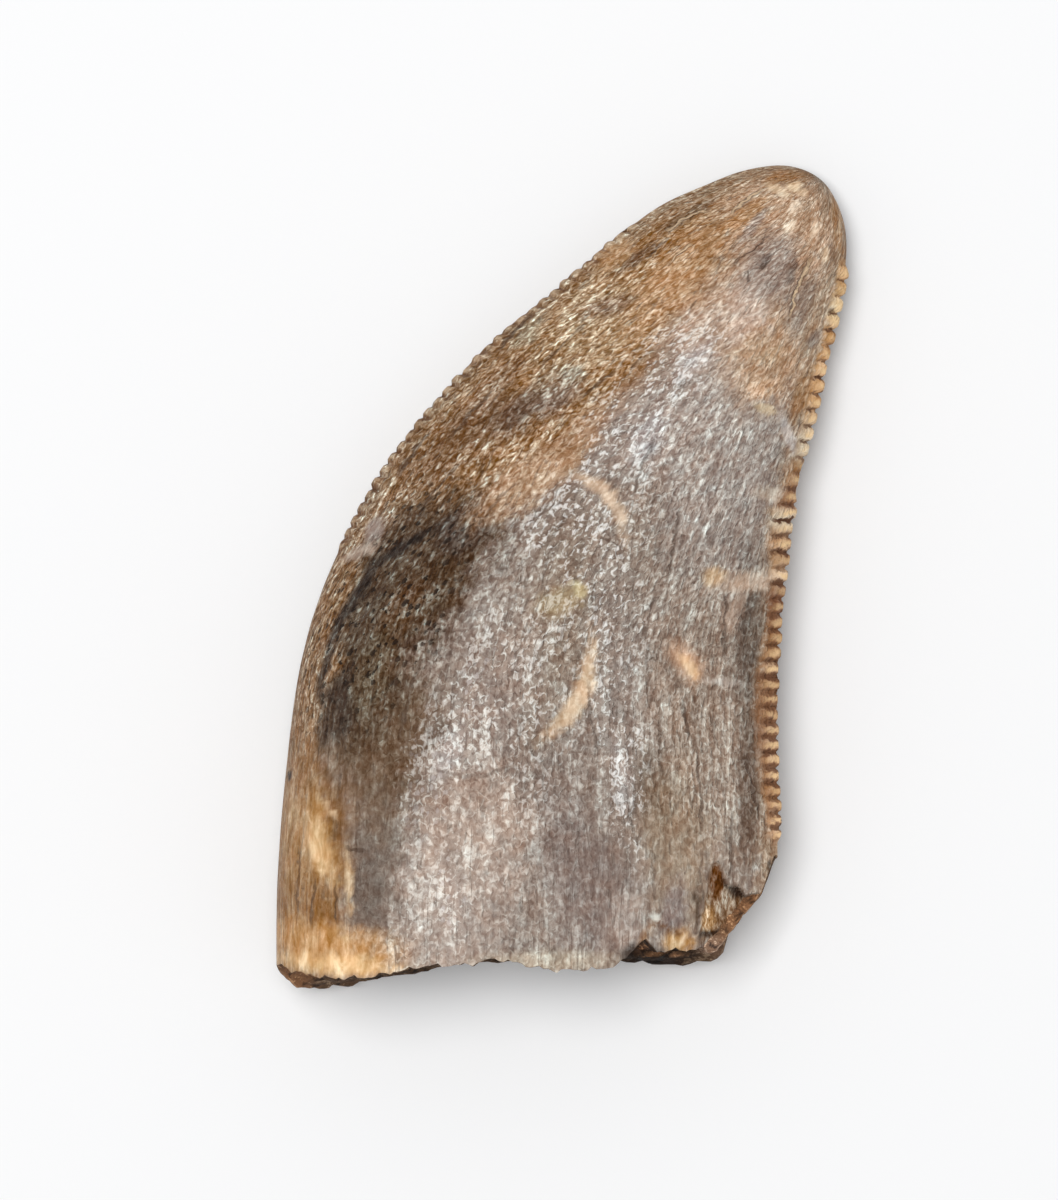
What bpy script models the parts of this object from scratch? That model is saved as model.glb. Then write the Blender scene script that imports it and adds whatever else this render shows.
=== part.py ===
"""The crown of a small tyrannosaur tooth, as found: one solid, lying on the inner side of the jaw's curve.

+Y runs from the broken base to the worn tip and +Z up through the outer face. The mesial (front) edge is on
the -X side and the distal (rear) edge on the +X side, and both carry a row of denticles. The tooth rests on a
small flat of its inner face at Z = 0, and its origin is at the bottom centre of its box.
"""

import math

import bmesh
import bpy
from mathutils import Matrix, Vector

# The blade seen from above, in millimetres, from below the break (first) to the tip (last). Points of the
# same number in the two lists are the two ends of one cross-section.
MESIAL_EDGE = [
    (-7.5, -11.4), (-7.5, -8.25), (-7.3, -5.35), (-6.85, -2.05), (-5.9, 0.7), (-4.3, 3.45), (-2.15, 5.9),
    (0.3, 8.0), (2.35, 9.7), (4.0, 10.5), (5.0, 10.85), (6.0, 10.95),
]
DISTAL_EDGE = [
    (5.55, -11.4), (5.65, -8.0), (5.6, -5.1), (5.6, -2.3), (5.8, 0.05), (6.1, 2.05), (6.55, 4.0),
    (6.9, 5.6), (7.25, 7.05), (7.5, 8.3), (7.5, 9.25), (7.25, 10.05),
]
TIP = (6.8, 10.65)

# Heights of the two faces above and below the blade's middle, as shares of the width between the edges.
LABIAL_SHARE = 0.29
LINGUAL_SHARE = 0.235
DISTAL_TURN = 0.05  # how much higher the distal edge lies than the mesial one, as a share of the width

# How each face rises from its edges: about 0.5 is a round edge and 1 a sharp one.
MESIAL_ROUNDNESS = (0.5, 0.95)  # near the base, and from the middle up
LABIAL_DISTAL_ROUNDNESS = (1.05, 0.88)
LINGUAL_DISTAL_ROUNDNESS = (0.6, 0.8)
TIP_ROUNDNESS = 0.5
CARINA_FROM, CARINA_TO = 2.5, 5.0  # where along the edges the mesial side turns from round to sharp
TIP_FROM = 10.0

# The shallow hollow down the outer face, between its two low ridges.
HOLLOW_DEPTH, HOLLOW_ACROSS, HOLLOW_HALF_WIDTH, HOLLOW_TOP = 0.22, 0.54, 0.12, 6.0

# The inner face bows a little along its length, so that the tooth lies on a flat below its middle.
REST_FLAT_DEPTH = 0.22
BASE_LIFT, TIP_LIFT, LEVEL_AT = 0.5, 1.15, 3.0

# The break at the base: the edge of the outer face, and the edge of the inner face, in millimetres.
LABIAL_BREAK = [
    (-7.55, -10.05), (-6.9, -10.25), (-5.05, -10.3), (-3.6, -10.0), (-1.65, -9.85), (-0.25, -10.15),
    (1.45, -10.0), (2.1, -9.4), (2.5, -9.7), (3.4, -9.65), (4.0, -9.75), (4.35, -9.35), (4.6, -8.95),
    (5.1, -8.45), (5.6, -7.2),
]
LINGUAL_BREAK = [
    (-7.55, -10.3), (-7.3, -10.55), (-6.9, -10.88), (-5.7, -10.8), (-4.0, -10.4), (-3.2, -10.25), (1.0, -10.15),
    (3.05, -10.25), (4.05, -10.1), (4.35, -9.8), (4.45, -9.1), (4.9, -8.8), (5.15, -8.5), (5.6, -7.4),
]
BREAK_RINGS = [(0.9, 0.06), (0.6, 0.14), (0.47, 0.6)]  # share of the section's size, and depth sunk
BREAK_CENTRE_ACROSS, BREAK_CENTRE_DEPTH = 0.55, 0.7

# The flake lost from the outer face at the distal corner: its outline, and how deep it went.
CHIP_OUTLINE = [
    (3.5, -10.4), (3.55, -9.15), (3.7, -8.35), (3.85, -7.45), (4.05, -7.4), (4.3, -7.95), (4.8, -8.3),
    (5.05, -8.25), (5.6, -8.6), (5.6, -10.4),
]
CHIP_DEPTH, CHIP_TOP = 0.28, 9.0

POINTS_ROUND = 48
ROWS = 34

# The denticles: pitch along the edge, and the half sizes outwards, along the edge and through the blade.
DISTAL_COUNT, DISTAL_FIRST_Y, DISTAL_LAST_Y = 37, 8.1, -6.75
DISTAL_HALF_SIZES, DISTAL_STANDS_OUT = (0.36, 0.195, 0.3), 0.15
MESIAL_COUNT, MESIAL_FIRST_Y, MESIAL_LAST_Y = 31, 9.3, 0.85
MESIAL_HALF_SIZES, MESIAL_STANDS_OUT = (0.25, 0.17, 0.22), 0.05
END_DENTICLE_SIZE = 0.72  # the first and last of each row are worn down to this share
DENTICLE_SQUARENESS = 0.72  # 1 would be an egg shape, and lower is squarer
DENTICLE_SEGMENTS, DENTICLE_RINGS = 8, 4
FLAT_SIDE_OUT = Matrix.Rotation(math.pi / DENTICLE_SEGMENTS, 4, "Z")

FOSSIL_COLOUR = (0.235, 0.165, 0.115, 1.0)
FOSSIL_ROUGHNESS = 0.42

MM = 0.001
ALMOST_ONE = 0.999999


def clear_scene():
    for old in list(bpy.data.objects):
        bpy.data.objects.remove(old, do_unlink=True)


def ease(value, low, high):
    """0 below low, 1 above high, and a smooth step between them."""
    share = min(max((value - low) / (high - low), 0.0), 1.0)
    return share * share * (3 - 2 * share)


def mix(first, second, share):
    return first + (second - first) * share


def along(points, beyond, growth):
    """The point at that place along a smooth curve through the points; beyond is the one past the last."""
    run_in = 2 * Vector(points[0]) - Vector(points[1])
    path = [run_in] + [Vector(point) for point in points] + [Vector(beyond)]
    start = int(growth)
    before, a, b, after = path[start:start + 4]
    t = growth - start
    return 0.5 * (
        2 * a
        + (b - before) * t
        + (2 * before - 5 * a + 4 * b - after) * t * t
        + (3 * a - before - 3 * b + after) * t * t * t
    )


GROWTH_END = len(MESIAL_EDGE) * ALMOST_ONE


def mesial_at(growth):
    return along(MESIAL_EDGE + [TIP], DISTAL_EDGE[-1], growth)


def distal_at(growth):
    return along(DISTAL_EDGE + [TIP], MESIAL_EDGE[-1], growth)


def rise(across, mesial, distal):
    """Height of a face at a share of the way across, 1 at its crest, from how sharp its two edges are."""
    crest = mesial / (mesial + distal)
    top = crest ** mesial * (1 - crest) ** distal
    return max(across, 0.0) ** mesial * max(1 - across, 0.0) ** distal / top


def roundness(pair, growth):
    body = mix(pair[0], pair[1], ease(growth, CARINA_FROM, CARINA_TO))
    return mix(body, TIP_ROUNDNESS, ease(growth, TIP_FROM, GROWTH_END))


def middle_height(width, across, growth):
    """Height of the sheet between the two faces, which holds the two edges."""
    bow = BASE_LIFT * ease(-growth, -LEVEL_AT, 0) + TIP_LIFT * ease(growth, LEVEL_AT, GROWTH_END)
    return width * (LINGUAL_SHARE + DISTAL_TURN * (across - 0.5)) + bow - REST_FLAT_DEPTH


def crown_point(turn, growth):
    """A point of the outside, in millimetres. turn 0 is the mesial edge, pi the distal edge, over the outer face."""
    mesial, distal = mesial_at(growth), distal_at(growth)
    width = (distal - mesial).length
    across = (1 - math.cos(turn)) / 2
    front = roundness(MESIAL_ROUNDNESS, growth)
    height = middle_height(width, across, growth)
    if math.sin(turn) > 0:
        height += width * LABIAL_SHARE * rise(across, front, roundness(LABIAL_DISTAL_ROUNDNESS, growth))
        fade = 1 - ease(growth, 0, HOLLOW_TOP)
        height -= HOLLOW_DEPTH * fade * math.exp(-(((across - HOLLOW_ACROSS) / HOLLOW_HALF_WIDTH) ** 2))
    else:
        height -= width * LINGUAL_SHARE * rise(across, front, roundness(LINGUAL_DISTAL_ROUNDNESS, growth))
    flat = mix(mesial, distal, across)
    return Vector((flat.x, flat.y, max(height, 0.0)))


def height_on_line(line, x):
    """Y of a broken line at X; past its ends it stays level."""
    if x <= line[0][0]:
        return line[0][1]
    for (x0, y0), (x1, y1) in zip(line, line[1:]):
        if x <= x1:
            return mix(y0, y1, (x - x0) / (x1 - x0))
    return line[-1][1]


def break_y(x, turn):
    """Where the crown ends on that side of the section."""
    labial_share = min(max(0.5 + 2.5 * math.sin(turn), 0.0), 1.0)
    return mix(height_on_line(LINGUAL_BREAK, x), height_on_line(LABIAL_BREAK, x), labial_share)


def growth_at_break(turn):
    """The growth at which the outside meets the break, found by halving."""
    low, high = 0.0, 3.0
    for _ in range(24):
        middle = (low + high) / 2
        point = crown_point(turn, middle)
        if point.y < break_y(point.x, turn):
            low = middle
        else:
            high = middle
    return high


def crown_rows():
    """Rings of points from the break to just short of the tip."""
    turns = [2 * math.pi * step / POINTS_ROUND for step in range(POINTS_ROUND)]
    starts = [growth_at_break(turn) for turn in turns]
    shares = [(row / ROWS) for row in range(ROWS)]
    return [
        [crown_point(turn, mix(start, GROWTH_END, share)) for turn, start in zip(turns, starts)]
        for share in shares
    ]


def break_centre():
    """The middle of the break, sunk into the crown."""
    top = crown_point(math.acos(1 - 2 * BREAK_CENTRE_ACROSS), 1.0)
    bottom = crown_point(-math.acos(1 - 2 * BREAK_CENTRE_ACROSS), 1.0)
    level = (break_y(top.x, math.pi / 2) + break_y(top.x, -math.pi / 2)) / 2
    return Vector((top.x, level, (top.z + bottom.z) / 2))


def break_rows(rim):
    """Rings of points over the break, each smaller and further sunk than the one before."""
    centre = break_centre()
    rows = []
    for share, depth in BREAK_RINGS:
        rows.append([centre.lerp(point, share) + Vector((0, depth, 0)) for point in rim])
    return rows, centre + Vector((0, BREAK_CENTRE_DEPTH, 0))


def join_rings(mesh, lower, upper):
    count = len(lower)
    for step in range(count):
        following = (step + 1) % count
        mesh.faces.new((lower[step], lower[following], upper[following], upper[step]))


def close_end(mesh, ring, point):
    """A fan of triangles from the ring to one point."""
    end = mesh.verts.new(point * MM)
    count = len(ring)
    for step in range(count):
        mesh.faces.new((ring[step], ring[(step + 1) % count], end))


def build_crown():
    """The crown with its broken base, as one closed mesh."""
    rows = crown_rows()
    inner_rows, centre = break_rows(rows[0])
    mesh = bmesh.new()
    rings = [[mesh.verts.new(point * MM) for point in row] for row in reversed(inner_rows)]
    rings += [[mesh.verts.new(point * MM) for point in row] for row in rows]
    for lower, upper in zip(rings, rings[1:]):
        join_rings(mesh, lower, upper)
    close_end(mesh, rings[0][::-1], centre)
    close_end(mesh, rings[-1], crown_point(0, GROWTH_END))
    bmesh.ops.recalc_face_normals(mesh, faces=mesh.faces)
    bmesh.ops.triangulate(mesh, faces=mesh.faces)
    return finish_object("tooth", mesh)


def edge_growths(edge_at, first_y, last_y, count):
    """Growths of evenly spaced places along an edge, between two heights, the upper one first."""
    steps = 1200
    path = [edge_at(GROWTH_END * step / steps) for step in range(steps)]
    inside = [step for step in range(steps) if last_y <= path[step].y <= first_y and step < steps * 0.9]
    runs = [0.0]
    for before, after in zip(inside, inside[1:]):
        runs.append(runs[-1] + (path[after] - path[before]).length)
    growths = []
    for index in range(count):
        wanted = runs[-1] * (1 - index / (count - 1))
        nearest = min(range(len(runs)), key=lambda place: abs(runs[place] - wanted))
        growths.append(GROWTH_END * inside[nearest] / steps)
    return growths


def square_up(point):
    """A point of a unit ball, pushed out towards the corners of its cube."""
    return Vector([math.copysign(abs(value) ** DENTICLE_SQUARENESS, value) for value in point])


def place_denticle(edge_at, across, growth, half_sizes, stands_out, size):
    """A matrix that turns a unit block into one denticle on the edge."""
    here = edge_at(growth)
    onward = (edge_at(growth + 0.02) - edge_at(growth - 0.02)).normalized()
    outward = Vector((onward.y, -onward.x)) * (1 if across else -1)
    out_size, along_size, through_size = half_sizes
    centre = here + outward * (stands_out * size - out_size)
    width = (distal_at(growth) - mesial_at(growth)).length
    frame = Matrix.Identity(4)
    frame.col[0] = (*(outward * out_size), 0, 0)
    frame.col[1] = (*(onward * along_size * size), 0, 0)
    frame.col[2] = (0, 0, through_size * size, 0)
    frame.col[3] = (*centre, middle_height(width, across, growth), 1)
    return frame


def add_denticles(mesh, edge_at, across, growths, half_sizes, stands_out):
    for index, growth in enumerate(growths):
        at_end = index in (0, len(growths) - 1)
        size = END_DENTICLE_SIZE if at_end else 1
        frame = place_denticle(edge_at, across, growth, half_sizes, stands_out, size)
        made = bmesh.ops.create_uvsphere(
            mesh, u_segments=DENTICLE_SEGMENTS, v_segments=DENTICLE_RINGS, radius=1, matrix=FLAT_SIDE_OUT
        )
        for vert in made["verts"]:
            vert.co = square_up(vert.co)
        bmesh.ops.transform(mesh, matrix=Matrix.Scale(MM, 4) @ frame, verts=made["verts"])


def build_denticles():
    """Both rows of denticles, to be joined with the crown."""
    mesh = bmesh.new()
    rear = edge_growths(distal_at, DISTAL_FIRST_Y, DISTAL_LAST_Y, DISTAL_COUNT)
    front = edge_growths(mesial_at, MESIAL_FIRST_Y, MESIAL_LAST_Y, MESIAL_COUNT)
    add_denticles(mesh, distal_at, 1, rear, DISTAL_HALF_SIZES, DISTAL_STANDS_OUT)
    add_denticles(mesh, mesial_at, 0, front, MESIAL_HALF_SIZES, MESIAL_STANDS_OUT)
    bmesh.ops.recalc_face_normals(mesh, faces=mesh.faces)
    return finish_helper("denticles", mesh)


def labial_height(x, y):
    """Height of the outer face over a point near the base, where the cross-sections lie level."""
    growth = (y - MESIAL_EDGE[0][1]) / (MESIAL_EDGE[1][1] - MESIAL_EDGE[0][1])
    mesial, distal = mesial_at(growth), distal_at(growth)
    across = min(max((x - mesial.x) / (distal.x - mesial.x), 0.0), 1.0)
    return crown_point(math.acos(1 - 2 * across), growth).z


def build_chip():
    """A block over the lost flake, whose floor runs a little below the outer face."""
    mesh = bmesh.new()
    floor, top = [], []
    for x, y in CHIP_OUTLINE:
        floor.append(mesh.verts.new(Vector((x, y, labial_height(x, y) - CHIP_DEPTH)) * MM))
        top.append(mesh.verts.new(Vector((x, y, CHIP_TOP)) * MM))
    join_rings(mesh, floor, top)
    mesh.faces.new(floor)
    mesh.faces.new(top)
    bmesh.ops.triangulate(mesh, faces=mesh.faces)
    bmesh.ops.recalc_face_normals(mesh, faces=mesh.faces)
    return finish_helper("chip", mesh)


def finish_helper(name, mesh):
    helper = finish_object(name, mesh)
    helper.hide_render = True
    helper.display_type = "WIRE"
    return helper


def finish_object(name, mesh):
    data = bpy.data.meshes.new(name)
    mesh.to_mesh(data)
    mesh.free()
    made = bpy.data.objects.new(name, data)
    bpy.context.scene.collection.objects.link(made)
    return made


def combine(body, other, operation):
    change = body.modifiers.new(other.name, "BOOLEAN")
    change.operation = operation
    change.solver = "EXACT"
    change.object = other


def fossil_material():
    material = bpy.data.materials.new("fossil_tooth")
    material.use_nodes = True
    shader = material.node_tree.nodes["Principled BSDF"]
    shader.inputs["Base Color"].default_value = FOSSIL_COLOUR
    shader.inputs["Roughness"].default_value = FOSSIL_ROUGHNESS
    shader.inputs["Metallic"].default_value = 0.0
    return material


def centre_on_origin(body, *others):
    """Moves the pieces so that the finished body's box is centred over the origin."""
    bpy.context.view_layer.update()
    shaped = body.evaluated_get(bpy.context.evaluated_depsgraph_get())
    corners = [Vector(corner) for corner in shaped.bound_box]
    shift = Vector((0, 0, 0))
    for axis in (0, 1):
        values = [corner[axis] for corner in corners]
        shift[axis] = -(min(values) + max(values)) / 2
    for piece in (body, *others):
        piece.location = shift


def main():
    clear_scene()
    tooth = build_crown()
    chip = build_chip()
    denticles = build_denticles()
    combine(tooth, chip, "DIFFERENCE")
    combine(tooth, denticles, "UNION")
    tooth.data.materials.append(fossil_material())
    tooth.data.shade_smooth()
    tooth.data.set_sharp_from_angle(angle=math.radians(40))
    centre_on_origin(tooth, chip, denticles)


main()
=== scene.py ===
"""The finish of a small fossil tyrannosaur tooth, laid out as a Blender add-on and run as a script.

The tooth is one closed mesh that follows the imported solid. Its crown is made from the two edges of the blade.
Geometry Nodes then lay the patches of colour, raise low growth ridges and the two rows of denticles, and
roughen the broken base.
Lengths are in millimetres here and in metres in Blender: a property with a unit holds metres.
"""

import math
from typing import NamedTuple

import bpy
import numpy as np
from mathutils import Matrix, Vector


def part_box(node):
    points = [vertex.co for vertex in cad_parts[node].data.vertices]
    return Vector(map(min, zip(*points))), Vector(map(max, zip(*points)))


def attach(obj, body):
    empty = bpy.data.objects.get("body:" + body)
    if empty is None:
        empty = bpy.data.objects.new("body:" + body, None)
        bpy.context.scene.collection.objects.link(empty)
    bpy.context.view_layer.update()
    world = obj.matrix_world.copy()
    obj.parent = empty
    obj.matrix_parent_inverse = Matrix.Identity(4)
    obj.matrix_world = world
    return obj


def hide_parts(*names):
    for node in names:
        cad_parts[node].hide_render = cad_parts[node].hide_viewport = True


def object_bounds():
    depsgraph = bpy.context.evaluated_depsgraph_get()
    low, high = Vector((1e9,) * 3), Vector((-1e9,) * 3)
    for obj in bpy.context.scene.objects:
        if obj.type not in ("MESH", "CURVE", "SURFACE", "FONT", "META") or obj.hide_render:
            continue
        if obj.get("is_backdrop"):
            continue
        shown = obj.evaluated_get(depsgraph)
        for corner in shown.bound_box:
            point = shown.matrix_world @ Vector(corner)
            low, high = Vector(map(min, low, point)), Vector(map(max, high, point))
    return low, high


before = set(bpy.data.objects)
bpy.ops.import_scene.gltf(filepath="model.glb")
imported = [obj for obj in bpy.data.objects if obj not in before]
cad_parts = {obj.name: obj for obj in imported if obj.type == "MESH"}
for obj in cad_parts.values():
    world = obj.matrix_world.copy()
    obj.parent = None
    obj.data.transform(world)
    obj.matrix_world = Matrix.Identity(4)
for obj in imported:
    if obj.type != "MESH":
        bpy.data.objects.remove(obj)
SOLID_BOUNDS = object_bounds()
TOOTH_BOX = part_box("tooth")

bl_info = {
    "name": "Fossil Tooth Finish",
    "version": (1, 0, 0),
    "blender": (4, 5, 0),
    "location": "3D View > Sidebar > Fossil",
    "description": "Builds the surface and the colours of a small fossil tooth around its solid",
    "category": "Object",
}

MM = 0.001

# The blade seen from above, from below the break (first) to the tip (last). Points of the same number in the
# two lists are the two ends of one cross-section.
MESIAL_POINTS = [
    (-7.5, -11.4), (-7.5, -8.25), (-7.3, -5.35), (-6.85, -2.05), (-5.9, 0.7), (-4.3, 3.45), (-2.15, 5.9),
    (0.3, 8.0), (2.35, 9.7), (4.0, 10.5), (5.0, 10.85), (6.0, 10.95),
]
DISTAL_POINTS = [
    (5.55, -11.4), (5.65, -8.0), (5.6, -5.1), (5.6, -2.3), (5.8, 0.05), (6.1, 2.05), (6.55, 4.0),
    (6.9, 5.6), (7.25, 7.05), (7.5, 8.3), (7.5, 9.25), (7.25, 10.05),
]
TIP = (6.8, 10.65)
GROWTH_END = len(MESIAL_POINTS) * 0.999999

# Heights of the two faces above and below the blade's middle, as shares of the width between the edges.
LABIAL_SHARE = 0.29
LINGUAL_SHARE = 0.235
DISTAL_TURN = 0.05

# How each face rises from its edges: about 0.5 is a round edge and 1 a sharp one.
MESIAL_ROUNDNESS = (0.5, 0.95)
LABIAL_DISTAL_ROUNDNESS = (1.05, 0.88)
LINGUAL_DISTAL_ROUNDNESS = (0.6, 0.8)
TIP_ROUNDNESS = 0.5
CARINA_FROM, CARINA_TO = 2.5, 5.0
TIP_FROM = 10.0
HOLLOW_DEPTH, HOLLOW_ACROSS, HOLLOW_HALF_WIDTH, HOLLOW_TOP = 0.22, 0.54, 0.12, 6.0
REST_FLAT_DEPTH = 0.22
BASE_LIFT, TIP_LIFT, LEVEL_AT = 0.5, 1.15, 3.0

# The break at the base: where the outer and the inner face end, how deep it is sunk at shares of the way from
# its centre to its rim, and the small jags of its rim, each a height, waves to the millimetre and a phase.
LABIAL_BREAK = [
    (-7.55, -10.05), (-6.9, -10.25), (-6.1, -10.35), (-5.05, -10.3), (-4.1, -10.12), (-3.6, -10.0),
    (-2.4, -9.97), (-1.9, -9.84), (-1.6, -9.84), (-0.9, -10.02), (-0.25, -10.15), (1.0, -10.13),
    (1.45, -10.0), (1.75, -9.72), (2.1, -9.36), (2.3, -9.55), (2.5, -9.7), (3.4, -9.65), (4.0, -9.75),
    (4.35, -9.35), (4.6, -8.95), (5.1, -8.45), (5.6, -7.2),
]
LINGUAL_BREAK = [
    (-7.55, -10.3), (-7.3, -10.55), (-6.9, -10.88), (-5.7, -10.8), (-4.0, -10.4), (-3.2, -10.25),
    (1.0, -10.15), (3.05, -10.25), (4.05, -10.1), (4.35, -9.8), (4.45, -9.1), (4.9, -8.8), (5.15, -8.5),
    (5.6, -7.4),
]
BREAK_SHARES = (0, 0.47, 0.6, 0.9, 1)
BREAK_DEPTHS = (0.7, 0.6, 0.14, 0.06, 0)
BREAK_CENTRE_ACROSS = 0.55
BREAK_BELOW, HALVINGS = 3.0, 24  # the break is searched for below that growth, in that many halvings
BREAK_JAGS = ((0.035, 9.1, 0.3), (0.025, 17.3, 1.1), (0.018, 31.7, 2.3))

# The flake lost from the outer face at the distal corner.
FLAKE_OUTLINE = [
    (3.5, -10.4), (3.55, -9.15), (3.62, -8.8), (3.7, -8.35), (3.85, -7.45), (4.05, -7.4), (4.2, -7.62),
    (4.3, -7.95), (4.6, -8.05), (4.8, -8.3), (5.05, -8.25), (5.6, -8.6), (5.6, -10.4),
]
FLAKE_DEPTH, FLAKE_WALL = 0.26, 0.07

# The mesh: columns over the outer and the inner face, and rows from the break to the tip.
LABIAL_COLUMNS, LINGUAL_COLUMNS = 178, 82
LOWER_ROWS, LOWER_TOP = 60, 2.0
ROWS_PER_DENTICLE = 7
BREAK_RINGS, BREAK_RING_POWER = 32, 1.6
LENGTH_SAMPLES = 4001
SHARP_FROM = math.radians(55)


class Mark(NamedTuple):
    """One patch of colour on the outer face or on the break: an ellipse with a ragged edge."""

    name: str
    place: tuple  # its middle, seen from above
    reach: tuple  # half its length and half its width
    lean: float  # degrees from +X to its long axis
    colour: tuple
    strength: float = 1.0
    soft: float = 0.5  # share of the reach over which it fades
    bend: float = 0.0  # how far its ends curve aside, in half widths
    calm: float = 0.0  # how far it smooths the grain
    within: str = ""  # the kept value that it stays inside


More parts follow.
